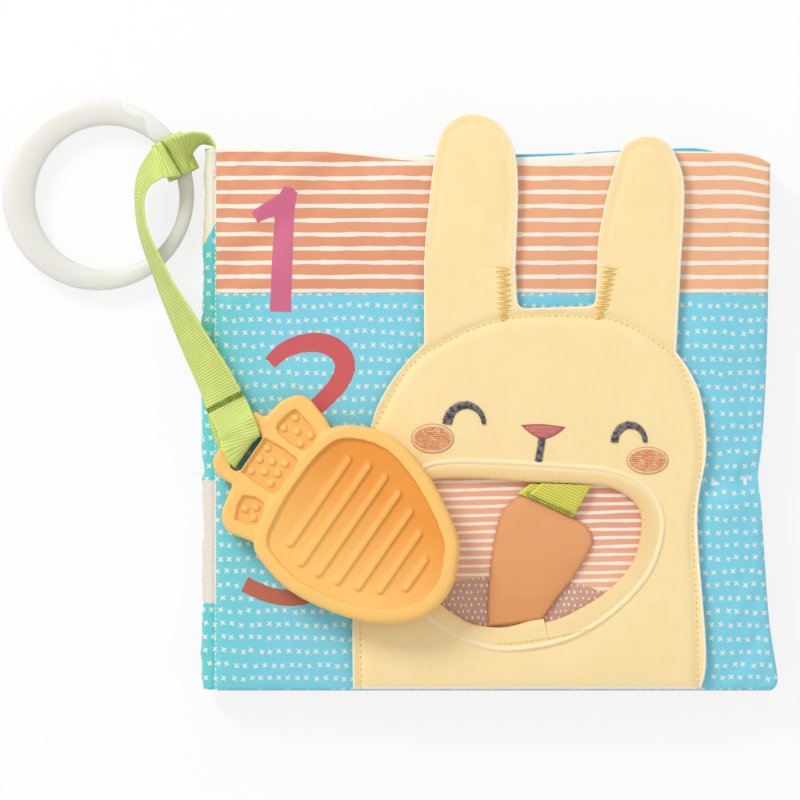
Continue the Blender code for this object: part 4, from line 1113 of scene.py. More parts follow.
def looks(name):
    """The finish of that name, made at its first use."""
    cream, lime = ink("cream"), ink("page_lime")
    gloss = {"roughness": 0.5, "sheen": 0.12, "specular_ior_level": 0.42}
    matt = {"roughness": 0.5}
    finishes = {
        "front satin": (front_print, gloss),
        "back satin": (page_print(ink("sky"), cream, "hills"), gloss),
        "spine satin": (spine_print, gloss),
        "blue satin": (page_print(ink("page_blue"), cream, "dots"), gloss),
        "lime satin": (page_print(lime, cream, "crosses"), gloss),
        "teal satin": (page_print(ink("teal"), cream, "stripes"), gloss),
        "orange satin": (page_print(ink("orange"), cream, "stripes"), gloss),
        "pocket satin": (pocket_print, gloss),
        "carrot cloth": (carrot_paint, {"roughness": 0.68, "sheen": 0.1}),
        "velour": (velour_paint, {"roughness": 0.92, "sheen": 0.3, "specular_ior_level": 0.2}),
        "ribbing": (ribbing_paint, {"roughness": 0.92, "sheen": 0.25, "specular_ior_level": 0.2}),
        "wadding": (wool_paint((0.86, 0.86, 0.84)), {"roughness": 0.95}),
        "spine lining": (wool_paint(lime), {"roughness": 0.8}),
        "crinkle film": (film_paint, {"roughness": 0.22}),
        # The second number is how strong the painted shade in the grooves is
        "grosgrain": (grosgrain_paint((1.0, 1.0, 1.0), 0.42), {"roughness": 0.58, "sheen": 0.1}),
        "tab grosgrain": (grosgrain_paint((1.12, 0.92, 0.5), 0.9), {"roughness": 0.58, "sheen": 0.1}),
        # Each thread's second number sets how bright its painted highlight is
        "tack thread": (thread_paint(linear(255, 220, 130), 1.0), matt),
        "gold thread": (thread_paint(ink("gold_thread")), matt),
        "white thread": (thread_paint(linear(246, 244, 238), 1.0), matt),
        "lime thread": (thread_paint(ink("ribbon_thread")), matt),
        # Painted highlight six times the charcoal, for the sheen of the satin stitches
        "charcoal thread": (thread_paint(ink("charcoal"), 6.0), {"roughness": 0.24}),
        "nose thread": (patch_paint(ink("nose"), linear(224, 138, 128), linear(180, 82, 84), None),
                        {"roughness": 0.45}),
        "cheek thread": (patch_paint(ink("cheek"), linear(248, 204, 156), linear(232, 158, 106),
                                     linear(252, 226, 172)), matt),
        "milky plastic": (plastic_paint, {
            "subsurface_weight": 0.9, "subsurface_radius": (1.0, 0.98, 0.9), "subsurface_scale": 0.008,
            "specular_ior_level": 0.35, "transmission_weight": 0.12}),
        "silicone": (silicone_paint, {
            "subsurface_weight": 0.3, "subsurface_radius": (1.0, 0.5, 0.2), "subsurface_scale": 0.0016,
            "specular_ior_level": 0.35}),
    }
    paint, shader = finishes[name]
    return look(name, paint, **shader)


# Shapes


def tube_faces(rings, sides, closed=False):
    """Faces between closed rings of points, each joined to the next, and the last to the first if asked."""
    return [(row * sides + k, row * sides + (k + 1) % sides, (row + 1) % rings * sides + (k + 1) % sides,
             (row + 1) % rings * sides + k) for row in range(rings - (not closed)) for k in range(sides)]


def layer_faces(rows, columns):
    """Faces of two equal layers of points, and the walls round them."""
    count = rows * columns
    faces = []
    for row in range(rows - 1):
        for column in range(columns - 1):
            a = row * columns + column
            faces.append((a, a + columns, a + columns + 1, a + 1))
            faces.append((a + count, a + count + 1, a + count + columns + 1, a + count + columns))
    edge = list(range(columns)) + [k * columns + columns - 1 for k in range(1, rows)]
    edge += [count - 1 - k for k in range(1, columns)] + [k * columns for k in range(rows - 2, 0, -1)]
    return faces + [(a, b, b + count, a + count) for a, b in zip(edge, edge[1:] + edge[:1])]


def sheet_object(name, grid, upper, lower, material, levels=0):
    """A closed sheet between two surfaces that share a grid of places."""
    lines = grid.shape[0]
    top = np.concatenate([grid, upper[..., None]], axis=2).reshape(-1, 3)
    bottom = np.concatenate([grid, lower[..., None]], axis=2).reshape(-1, 3)
    thing = outward(mesh_object(name, np.concatenate([top, bottom]), layer_faces(lines, lines), material))
    if levels:
        finer = thing.modifiers.new("finer", "SUBSURF")
        finer.levels = finer.render_levels = levels
        finer.boundary_smooth = "PRESERVE_CORNERS"
        thing = made_plain(thing, name)
    return thing


def sheet_grid(lines, layout):
    """Eased shares across and along the sheet, and the place of each point."""
    shares = np.sin(math.pi / 2 * np.linspace(-1, 1, lines))
    u, v = np.meshgrid(shares, shares, indexing="ij")
    x, y = layout(u, v)
    return u, v, np.stack([x, y], axis=2)


def edged_layout(left, tops, inset=0.0, lower=0.0):
    """A layout of shares over a sheet with a straight left side and edges from the tables."""
    top, right = traced_rows(tops, 5), traced_rows(RIGHT_EDGE_PIXELS, 5)[::-1]

    def layout(u, v):
        x = (COVER_WIDTH / 2 + left) / 2 + (COVER_WIDTH / 2 - left) / 2 * u
        y = COVER_HEIGHT / 2 * v
        rise = np.interp(x, top[:, 0], top[:, 1]) - COVER_HEIGHT / 2 - inset
        y = y + rise * np.maximum(v, 0) ** 4 - (lower - inset) * np.maximum(-v, 0) ** 4
        reach = np.interp(y, right[:, 1], right[:, 0]) - COVER_WIDTH / 2 - inset
        return x + reach * np.maximum(u, 0) ** 3, y

    return layout


def cover_layout(u, v):
    return edged_layout(-COVER_WIDTH / 2, TOP_EDGE_PIXELS)(u, v)


def puffed(lines):
    """How a sewn, stuffed sheet creases: cloth that is a little too large, blown up inside its seam.

    Gives the rise of each point of the grid over a plain sheet, from about -1 to 1."""
    u, v, grid = sheet_grid(lines, cover_layout)
    loss = 1 - fullness(u, COVER_FLAT) * fullness(v, COVER_FLAT)
    height = COVER_FILLING * (1 - 0.9 * loss)
    points = np.concatenate([grid, height[..., None]], axis=2).reshape(-1, 3)
    faces = [(a, a + lines, a + lines + 1, a + 1) for row in range(lines - 1)
             for a in range(row * lines, row * lines + lines - 1)]
    thing = mesh_object("blown_cloth", points, faces, looks("back satin"))
    seam = thing.vertex_groups.new(name="seam")
    for index in range(lines * lines):
        row, column = divmod(index, lines)
        if min(row, column) == 0 or max(row, column) == lines - 1:
            seam.add([index], 1.0, "REPLACE")
    cloth = thing.modifiers.new("cloth", "CLOTH")
    settings = cloth.settings
    settings.quality = 7
    settings.mass = 0.12
    settings.tension_stiffness = settings.compression_stiffness = 18
    settings.shear_stiffness = 8
    settings.bending_stiffness = 0.02
    settings.use_pressure = True
    settings.uniform_pressure_force = 2.0
    settings.vertex_group_mass = "seam"
    settings.pin_stiffness = 1
    settings.shrink_min = settings.shrink_max = -0.035
    settings.effector_weights.gravity = 0
    cloth.collision_settings.use_collision = False
    cloth.point_cache.frame_start = 1
    cloth.point_cache.frame_end = 20
    scene = bpy.context.scene
    for step in range(1, 21):
        scene.frame_set(step)
    graph = bpy.context.evaluated_depsgraph_get()
    result = thing.evaluated_get(graph).to_mesh()
    found = np.empty(len(result.vertices) * 3)
    result.vertices.foreach_get("co", found)
    thing.evaluated_get(graph).to_mesh_clear()
    bpy.data.objects.remove(thing)
    scene.frame_set(1)
    rise = (found.reshape(-1, 3)[:, 2] - points[:, 2]).reshape(lines, lines)
    return creases_of(rise)


def creases_of(rise):
    """The creases alone: what is left of a rise once its wide swell is taken out, from -1 to 1."""
    wide = rise.copy()
    for _ in range(60):
        inner = (wide[:-2, 1:-1] + wide[2:, 1:-1] + wide[1:-1, :-2] + wide[1:-1, 2:]) / 4
        wide[1:-1, 1:-1] = inner
    left = rise - wide
    size = max(float(np.percentile(np.abs(left), 97)), 1e-9)
    return np.clip(left / size, -1.3, 1.3)


def covered(points, spread):
    """0 where the bunny, the ribbon or the teether lies on the cover, rising to 1 beside them."""
    panel = even(traced(PANEL_PIXELS, PANEL_CORNERS, 4), 0.002)
    free = np.ones(len(points))
    for outline in (panel, *(ear_outline(p, 0.002) for p in (LEFT_EAR_PIXELS, RIGHT_EAR_PIXELS))):
        gap = distance_to(points, outline, closed=True)
        gap[inside(points, outline)] = 0
        free = np.minimum(free, np.clip(gap / spread, 0, 1))
    slot = np.array(place((290, 500)))
    away = np.linalg.norm((points - slot) * np.array([1.0, 0.85]), axis=1)
    return np.minimum(free, np.clip((away - 0.042) / 0.02, 0, 1))


def soft_plate(name, rim, holes, spacing, top, bottom, material, cut_edges, lean=(0.0, 0.0)):
    """A closed plate of small triangles between two heights, with its distance from the cut edges.

    The distance is noted from a place a little to the side, where the edge is seen leaning."""
    outlines = [even(outline, spacing * 0.6) for outline in (rim, *holes)]
    points = [*outlines]
    for outline, side in zip(outlines, [-1] + [1] * len(holes)):
        for step in (0.22, 0.6):
            ring = widened([Vector(p) for p in outline], side * step * spacing)
            ring = np.array([tuple(p) for p in ring])
            clear = np.min([distance_to(ring, o, closed=True) for o in outlines], axis=0)
            points.append(ring[clear > 0.85 * step * spacing])
    low, high = outlines[0].min(axis=0), outlines[0].max(axis=0)
    columns = np.arange(low[0], high[0], spacing)
    rows = np.arange(low[1], high[1], spacing * math.sqrt(0.75))
    xs, ys = np.meshgrid(columns, rows)
    xs[1::2] += spacing / 2
    grid = np.stack([xs.ravel(), ys.ravel()], axis=1)
    within = inside(grid, outlines[0])
    for hole in outlines[1:]:
        within &= ~inside(grid, hole)
    grid = grid[within]
    clear = np.min([distance_to(grid, o, closed=True) for o in outlines], axis=0)
    points.append(grid[clear > spacing * 1.05])
    edges, start = [], 0
    for outline in outlines:
        count = len(outline)
        edges += [(start + k, start + (k + 1) % count) for k in range(count)]
        start += count
    every = np.concatenate(points)
    scale = 1000.0
    found, _, faces, *_ = delaunay_2d_cdt([Vector(p) * scale for p in every], edges, [], 0, 0.00001)
    flat = np.array([tuple(p) for p in found]) / scale
    faces = np.array([tuple(f) for f in faces])
    middles = flat[faces].mean(axis=1)
    kept = inside(middles, outlines[0])
    for hole in outlines[1:]:
        kept &= ~inside(middles, hole)
    faces = faces[kept]
    used = np.unique(faces)
    places = np.full(len(flat), -1)
    places[used] = np.arange(len(used))
    flat, faces = flat[used], places[faces]
    a, b, c = (flat[faces[:, k]] for k in range(3))
    facing = (b - a)[:, 0] * (c - a)[:, 1] - (b - a)[:, 1] * (c - a)[:, 0]
    faces[facing < 0] = faces[facing < 0][:, ::-1]
    rim_distance = np.min([distance_to(flat, line) for line in cut_edges], axis=0)
    upper, lower = top(flat, rim_distance), bottom(flat, rim_distance)
    count = len(flat)
    sides = {}
    for face in faces:
        for k in range(3):
            first, second = int(face[k]), int(face[(k + 1) % 3])
            if (second, first) in sides:
                del sides[(second, first)]
            else:
                sides[(first, second)] = True
    walls = [(second, first, first + count, second + count) for first, second in sides]
    vertices = np.concatenate([np.column_stack([flat, upper]), np.column_stack([flat, lower])])
    every_face = [tuple(f) for f in faces] + [tuple(f[::-1] + count) for f in faces] + walls
    thing = mesh_object(name, vertices, every_face, material)
    rims = {tuple(sorted(side)) for side in sides}
    rims |= {(first + count, second + count) for first, second in rims}
    sharp = thing.data.attributes.new("sharp_edge", "BOOLEAN", "EDGE")
    sharp.data.foreach_set("value", [tuple(sorted(edge.vertices)) in rims for edge in thing.data.edges])
    shifted = flat + np.array(lean)
    shown = np.min([distance_to(shifted, line) for line in cut_edges], axis=0)
    shown[~inside(shifted, outlines[0]) & (rim_distance < 0.0005)] = 0
    store(thing, "rim", np.concatenate([shown, shown]))
    return thing


def resting(name, points, lift):
    """Places of the plane set down on a piece's upper side."""
    tree = BVHTree.FromObject(bpy.data.objects[name], bpy.context.evaluated_depsgraph_get())
    return [(*p[:2], tree.ray_cast(Vector((*p[:2], 0.1)), Vector((0, 0, -1)))[0].z + lift) for p in points]


def piece_tree(name, inputs):
    """A new tree that turns a mesh into instances: its node adder, and what comes in."""
    tree = bpy.data.node_groups.new(name, "GeometryNodeTree")
    face = tree.interface
    face.new_socket("Geometry", in_out="INPUT", socket_type="NodeSocketGeometry")
    for label, kind, default in (*inputs, ("Material", "Material", None)):
        socket = face.new_socket(label, in_out="INPUT", socket_type=f"NodeSocket{kind}")
        if default is not None:
            socket.default_value = default
    face.new_socket("Geometry", in_out="OUTPUT", socket_type="NodeSocketGeometry")
    n = Nodes(tree)
    return tree, n, n.add("NodeGroupInput").outputs


def end_tree(tree, n, material, **instances):
    """Places the instances, makes them real and gives them their material."""
    placed = n.add("GeometryNodeInstanceOnPoints", instances)
    real = n.add("GeometryNodeRealizeInstances", {"Geometry": placed.outputs[0]})
    shaded = n.add("GeometryNodeSetShadeSmooth", {"Geometry": real.outputs[0], "Shade Smooth": True})
    coloured = n.add("GeometryNodeSetMaterial", {"Geometry": shaded.outputs[0], "Material": material})
    tree.links.new(coloured.outputs[0], n.add("NodeGroupOutput").inputs[0])
    return tree


def grown(name, vertices, edges, tree, **values):
    """A plain mesh of what a tree puts on points or lines, with the tree's inputs set by name."""
    mesh = bpy.data.meshes.new(name)
    mesh.from_pydata([tuple(v) for v in vertices], edges, [])
    thing = link(bpy.data.objects.new(name, mesh))
    if edges:
        store(thing, "reach", values.pop("reach"))
    modifier = thing.modifiers.new("grown", "NODES")
    modifier.node_group = tree
    for item in tree.interface.items_tree:
        if item.item_type == "SOCKET" and item.in_out == "INPUT" and item.name in values:
            modifier[item.identifier] = values[item.name]
    return made_plain(thing, name)


def dome_tree():
    """A low dome of one material at each point."""
    tree, n, given = piece_tree("Low domes", (("Radius", "Float", 0.001), ("Height", "Float", 0.001)))
    points = n.add("GeometryNodeMeshToPoints", {"Mesh": given["Geometry"]})
    dome = n.add("GeometryNodeMeshUVSphere", {"Segments": 14, "Rings": 9, "Radius": 1.0})
    return end_tree(tree, n, given["Material"], Points=points.outputs[0], Instance=dome.outputs[0],
                    Scale=n.join(given["Radius"], given["Radius"], given["Height"]))


def closed_line(outline):
    points = [tuple(p) for p in outline]
    return np.array(points + points[:1])


def rounded(distance, edge):
    """How far a rounded edge has fallen at a distance from it."""
    share = np.clip(1 - distance / edge, 0, 1)
    return edge * (1 - np.sqrt(1 - share**2))


def ear_outline(pixels, spacing):
    return even(traced(pixels, {0, len(pixels) - 1}, 5), spacing)


def stations_of(rows, steps):
    centres = smooth([Vector(row[:3]) * MM for row in rows], (), steps, closed=False)
    across = smooth([Vector(row[3:]) for row in rows], (), steps, closed=False)
    frames = []
    for index, centre in enumerate(centres):
        along = (centres[min(index + 1, len(centres) - 1)] - centres[max(index - 1, 0)]).normalized()
        side = (across[index] - along * across[index].dot(along)).normalized()
        frames.append((centre, along, side, along.cross(side).normalized()))
    return frames


def ribbon_object(name, rows, steps, width, thickness):
    """A flat ribbon with a map of its length, in tenths of a metre, and its width."""
    frames = stations_of(rows, steps)
    lanes = 9
    vertices, lengths = [], []
    reached = 0.0
    for index, (centre, _, side, up) in enumerate(frames):
        if index:
            reached += (centre - frames[index - 1][0]).length
        lengths.append(reached)
        ring = []
        for order, lift in ((range(lanes), thickness / 2), (reversed(range(lanes)), -thickness / 2)):
            for k in order:
                share = k / (lanes - 1)
                ring.append((centre + side * (2 * share - 1) * width / 2 + up * lift, share))
        vertices.append(ring)
    count = 2 * lanes
    maps = []
    faces = tube_faces(len(frames), count)
    for row in range(len(frames) - 1):
        for k in range(count):
            after = (k + 1) % count
            u0, u1 = lengths[row] * 10, lengths[row + 1] * 10
            v0, v1 = vertices[row][k][1], vertices[row][after][1]
            maps += [(u0, v0), (u0, v1), (u1, v1), (u1, v0)]
    for row, cap in ((0, list(range(count))), (len(frames) - 1, list(range(count))[::-1])):
        faces.append(tuple(row * count + k for k in cap))
        maps += [(lengths[row] * 10, vertices[row][k][1]) for k in cap]
    points = [point for ring in vertices for point, _ in ring]
    thing = mesh_object(name, points, faces, looks("grosgrain"))
    layer = thing.data.uv_layers.new(name="ribbon")
    layer.data.foreach_set("uv", [value for pair in maps for value in pair])
    return outward(thing, weld=False), reached


def thread_run_tree():
    """Stitches along a path: one dash to each pitch, turned, leaned and made uneven as asked."""
    tree = bpy.data.node_groups.get("Thread run")
    if tree:
        return tree
    tree, n, given = piece_tree("Thread run", (
        ("Pitch", "Float", 0.002), ("Length", "Float", 0.0014), ("Radius", "Float", 0.0002),
        ("Turn", "Float", 0.0), ("Zigzag", "Float", 0.0), ("Uneven", "Float", 0.1),
        ("Sink", "Float", 0.6), ("Seed", "Int", 0)))
    path = n.add("GeometryNodeMeshToCurve", {"Mesh": given["Geometry"]}).outputs[0]
    points = n.add("GeometryNodeResampleCurve", {"Curve": path, "Length": given["Pitch"]}, mode="LENGTH")
    dash = n.add("GeometryNodeMeshCylinder", {"Vertices": 7, "Side Segments": 5, "Radius": 1.0, "Depth": 1.0})
    lying = n.add("GeometryNodeTransform", {"Geometry": dash.outputs[0], "Rotation": (0, math.pi / 2, 0)})
    x, y, z = n.split(n.add("GeometryNodeInputPosition").outputs[0])
    ends = n.power(n.size(n.times(x, 2.0)), 4.0)
    girth = n.math("SQRT", n.most(n.minus(1.06, ends), 0.02))
    fall = n.times(given["Sink"], n.power(n.times(x, 2.0), 2.0))
    shape = n.join(x, n.times(y, girth), n.minus(n.times(z, girth), fall))
    stitch = n.add("GeometryNodeSetPosition", {"Geometry": lying.outputs[0], "Position": shape})
    tangent = n.add("GeometryNodeInputTangent").outputs[0]
    aligned = n.add("FunctionNodeAlignRotationToVector", {"Vector": tangent}, axis="X")
    order = n.add("GeometryNodeInputIndex").outputs[0]
    side = n.times_plus(n.math("MODULO", order, 2.0), 2.0, -1.0)

    def chance(low, high, extra):
        node = n.add("FunctionNodeRandomValue", {2: low, 3: high, "Seed": n.plus(given["Seed"], extra)},
                     data_type="FLOAT")
        return node.outputs[1]

    lean = n.times(chance(-0.6, 0.6, 1), given["Uneven"])
    angle = n.plus(n.plus(given["Turn"], n.times(given["Zigzag"], side)), lean)
    about = n.add("FunctionNodeAxisAngleToRotation", {"Axis": (0, 0, 1), "Angle": angle})
    turned = n.add("FunctionNodeRotateRotation", {
        "Rotation": aligned.outputs[0], "Rotate By": about.outputs[0]}, rotation_space="LOCAL")
    reach = n.add("GeometryNodeInputNamedAttribute", {"Name": "reach"}, data_type="FLOAT").outputs[0]
    spread = n.times_plus(chance(-1.0, 1.0, 2), n.times(given["Uneven"], 0.6), 1.0)
    long = n.times(n.times(given["Length"], reach), spread)
    return end_tree(tree, n, given["Material"], Points=points.outputs[0], Instance=stitch.outputs[0],
                    Rotation=turned.outputs[0], Scale=n.join(long, given["Radius"], given["Radius"]))


def thread_run(name, paths, body, material, reach=None, slot_name="gold_thread", **values):
    """Stitches of one kind along one or more paths, as one plain mesh that rides on a body.

    A body of two names leaves the stitches baked where they are, as it leaves the tether.
    """
    vertices, edges, reaches = [], [], []
    for number, path in enumerate(paths):
        start = len(vertices)
        vertices += [tuple(p) for p in path]
        edges += [(start + k, start + k + 1) for k in range(len(path) - 1)]
        reaches += list(reach[number]) if reach else [1.0] * len(path)
    thing = grown(name, vertices, edges, thread_run_tree(), reach=reaches, **{
        "Seed": bpy.context.scene.book_studio.seed, "Material": looks(material), **values})
    return settle(thing, body, slot_name)


def cover_dip(y):
    """How far the front cover's top has fallen at a place near its lower edge."""
    share = np.clip(-y / (COVER_HEIGHT / 2), 0, 1)
    return COVER_DROP * COVER_FILLING * (1 - fullness(share, COVER_FLAT))


def panel_height(points):
    """Top of the bunny's velour: soft, drawn in along its stitches and bent down at its lower end."""
    sizes = bpy.context.scene.book_sizes
    stitched = np.array([tuple(place(p)) for p in PANEL_STITCH_PIXELS])
    path = even(smooth([Vector(p) for p in stitched], (), 4, closed=False), 0.002, closed=False)
    drawn = np.exp(-((distance_to(points, path) / 0.0014) ** 2)) * sizes.quilting
    swell = wave(points, 0.030, 2) * 0.00016 + wave(points, 0.011, 4) * 0.00005
    window = np.array([tuple(p) for p in traced(CREST_PIXELS, (), 2)])
    near = np.exp(-((distance_to(points, window, closed=True) / 0.0045) ** 2)) * 0.00030
    return PANEL_TOP + 0.0001 + swell - drawn - near - cover_dip(points[:, 1])


def on_panel(points, lift=0.0):
    flat = np.array([tuple(p)[:2] for p in points])
    return np.column_stack([flat, panel_height(flat) + lift])


# Operators


class BookOperator(bpy.types.Operator):
    bl_options = {"REGISTER", "UNDO"}


class BOOK_OT_studio(BookOperator):
    """Make the pale floor, the soft lights and the camera over the book"""
    bl_idname = "cloth_book.studio"
    bl_label = "Studio"

    def execute(self, context):
        scene, studio = context.scene, context.scene.book_studio
        scene.view_settings.view_transform = "Standard"
        camera = bpy.data.cameras.new("camera")
        camera.sensor_width = 36
        camera.lens = camera.sensor_width * studio.camera_distance / studio.view_width
        camera.clip_end = 10
        seat = link(bpy.data.objects.new("camera", camera))
        seat.location = (-0.02988, 0.00598, studio.camera_distance + COVER_TOP)
        scene.camera = seat
        size = 3.0
        floor = mesh_object("floor", [(-size, -size, 0), (size, -size, 0), (size, size, 0), (-size, size, 0)],
                            [(0, 1, 2, 3)], self.floor_look(context), False)
        self.light("key_light", (-0.85, 1.0, 1.05), 0.6, studio.key_power)
        self.light("fill_light", (0.9, -0.7, 1.3), 1.3, studio.fill_power)
        self.room(context)
        return {"FINISHED"}

    def light(self, name, at, size, power):
        lamp = bpy.data.lights.new(name, "AREA")
        lamp.shape = "DISK"
        lamp.size = size
        lamp.energy = power
        thing = link(bpy.data.objects.new(name, lamp))
        thing.location = at
        thing.rotation_euler = (Vector((0, 0, 0.01)) - Vector(at)).to_track_quat("-Z", "Y").to_euler()

    def floor_look(self, context):
        made = bpy.data.materials.new("studio floor")
        made.use_nodes = True
        made.node_tree.nodes.clear()
        n = Nodes(made.node_tree)
        ground = n.add("ShaderNodeTexCoord").outputs["Object"]
        tone = n.mix(n.noise(ground, 6.0), ink("floor", 0.995), ink("floor"))
        paper = n.add("ShaderNodeBsdfDiffuse", {"Color": tone})
        white = n.add("ShaderNodeEmission", {"Color": (1, 1, 1), "Strength": 1.0})
        both = n.add("ShaderNodeMixShader", {0: n.times(n.seen(), 0.8), 1: paper.outputs[0],
                                             2: white.outputs[0]})
        n.add("ShaderNodeOutputMaterial", {0: both.outputs[0]})
        return made

    def room(self, context):
        world = bpy.data.worlds.new("studio room")
        context.scene.world = world
        world.use_nodes = True
        world.node_tree.nodes.clear()
        n = Nodes(world.node_tree)
        sky = context.scene.book_studio.sky_strength
        strength = n.times_plus(n.seen(), 1 - sky, sky)
        air = n.add("ShaderNodeBackground", {"Color": (1, 1, 1), "Strength": strength})
        n.add("ShaderNodeOutputWorld", {0: air.outputs[0]})


class BOOK_OT_ribbons(BookOperator):
    """Make the ribbon round the link ring and the tether that holds the teether"""
    bl_idname = "cloth_book.ribbons"
    bl_label = "Ribbons"

    def execute(self, context):
        sizes = context.scene.book_sizes
        steps = 14
        loop, loop_length = ribbon_object("ring_ribbon_cloth", RING_RIBBON, steps, sizes.ribbon_width,
                                          sizes.ribbon_thickness)
        settle(loop, "back_cover", "lime_ribbon", "ring_ribbon")
        tether, tether_length = ribbon_object("tether_cloth", TETHER_RIBBON, steps, sizes.ribbon_width,
                                              sizes.ribbon_thickness)
        settle(tether, ("back_cover", "front_cover"), "lime_ribbon", "tether_ribbon")
        self.seams(sizes)
        return {"FINISHED"}

    def seams(self, sizes):
        """Dark stitches across the ribbon at the ring and at the teether."""
        frames = stations_of(TETHER_RIBBON, 14)
        lift = sizes.ribbon_thickness / 2 + 0.0001
        for name, at, body, rows, girth in (
            ("ring_end_stitches", 3, "back_cover", (-0.0002, 0.0002), 0.62),
            ("teether_end_stitches", 182, ("back_cover", "front_cover"), (-0.0006, 0.0, 0.0006), 0.85),
        ):
            centre, along, side, up = frames[at]
            upright = up if up.z > 0 else -up
            paths = [[centre + along * row + side * sizes.ribbon_width * t + upright * lift
                      for t in np.linspace(-0.48, 0.48, 8)] for row in rows]
            thread_run(name, paths, body, "lime thread", slot_name="lime_ribbon", Pitch=0.0011,
                       Length=0.0012, Radius=sizes.thread * girth, Uneven=0.3, Turn=0.12, Sink=0.35)


class BOOK_OT_covers(BookOperator):
    """Make the printed satin of both covers, puffed and creased over its filling"""
    bl_idname = "cloth_book.covers"
    bl_label = "Covers"

    def execute(self, context):
        lines = 72
        crease = context.scene.book_sizes.crease
        u, v, grid = sheet_grid(lines, cover_layout)
        back_grid = sheet_grid(lines, edged_layout(-COVER_WIDTH / 2, TOP_EDGE_PIXELS, 0.0002, 0.0007))[2]
        loss = COVER_FILLING * (1 - fullness(u, COVER_FLAT) * fullness(v, COVER_FLAT))
        thickness = 2 * COVER_CLOTH + GAP + COVER_FILLING
        rise = puffed(lines)
        flat = grid.reshape(-1, 2)
        free = covered(flat, 0.009).reshape(lines, lines)
        seam = np.clip((1 - np.maximum(np.abs(u), np.abs(v))) / 0.012, 0, 1)
        swell = wave(flat, 0.035, 11).reshape(lines, lines)
        lifted = (0.5 * rise + 0.35 * swell + 0.4) * crease * free * (0.25 + 0.75 * seam)
        fold_line = np.array([tuple(place(p)) for p in ((700, 486), (720, 483.5), (740, 483), (762, 480))])
        right_fold = np.exp(-((distance_to(flat, fold_line) / 0.0023) ** 2)).reshape(lines, lines)
        gathers = np.zeros_like(right_fold)
        for start, end in (((762, 458), (748, 462)), ((762, 468), (742, 471)), ((763, 497), (746, 492))):
            gather = np.array([tuple(place(start)), tuple(place(end))])
            gathers += np.exp(-((distance_to(flat, gather) / 0.0018) ** 2)).reshape(lines, lines)
        creased = (0.0026 * right_fold + 0.0010 * gathers) * np.clip(free * 2.5, 0, 1)
        creased = np.minimum(creased, np.maximum(lifted, 0) + 0.8 * (COVER_FILLING - loss))
        upper = FRONT_BASE + thickness - COVER_DROP * loss + lifted - creased
        hinge = np.exp(-(grid[..., 0] + COVER_WIDTH / 2) / 0.00045)
        upper = upper - 0.0012 * hinge
        folded = grid.copy()
        folded[..., 0] -= 0.0009 * hinge
        front = sheet_object("front_cover_satin", folded, upper, upper - COVER_CLOTH, looks("front satin"), 1)
        settle(front, "front_cover", "printed_satin", "front_cover_outer_cloth")
        base = FRONT_BASE + (1 - COVER_DROP) * loss
        page = sheet_object("front_cover_page", grid, base + COVER_CLOTH, base, looks("blue satin"), 1)
        settle(page, "front_cover", "blue_cloth", "front_cover_inner_cloth")
        low = COVER_DROP * loss - 0.3 * crease * np.clip(rise[::-1], -1, 0) * loss / COVER_FILLING
        back = sheet_object("back_cover_satin", back_grid, low + COVER_CLOTH, low, looks("back satin"), 1)
        settle(back, "back_cover", "printed_satin", "back_cover_outer_cloth")
        base = thickness - (1 - COVER_DROP) * loss - COVER_CLOTH
        page = sheet_object("back_cover_page", back_grid, base + COVER_CLOTH, base, looks("lime satin"), 1)
        settle(page, "back_cover", "lime_cloth", "back_cover_inner_cloth")
        return {"FINISHED"}


class BOOK_OT_leaves(BookOperator):
    """Make the two padded leaves, each with a print on either side"""
    bl_idname = "cloth_book.leaves"
    bl_label = "Leaves"

    def execute(self, context):
        prints = {"leaf_1": ("lime satin", "blue satin", "lime_cloth", "blue_cloth", LEAF_EDGE_PIXELS, 0.0),
                  "leaf_2": ("orange satin", "teal satin", "lime_cloth", "blue_cloth", TOP_EDGE_PIXELS,
                             0.0008)}
        for leaf, (back, front, back_slot, front_slot, tops, inset) in prints.items():
            u, v, grid = sheet_grid(56, edged_layout(LEAF_LEFT, tops, inset, 0.0004))
            loss = LEAF_FILLING * (1 - fullness(u, LEAF_FLAT) * fullness(v, LEAF_FLAT))
            low = LEAF_BASES[leaf] + LEAF_DROP * loss
            high = LEAF_BASES[leaf] + 2 * LEAF_CLOTH + GAP + LEAF_FILLING - (1 - LEAF_DROP) * loss
            pieces = (("back", back, low + LEAF_CLOTH, low, f"{leaf}_back_cloth", back_slot),
                      ("front", front, high, high - LEAF_CLOTH, f"{leaf}_front_cloth", front_slot))
            for side, material, upper, lower, node, slot_name in pieces:
                page = sheet_object(f"{leaf}_{side}_page", grid, upper, lower, looks(material), 1)
                settle(page, leaf, slot_name, node)
        return {"FINISHED"}


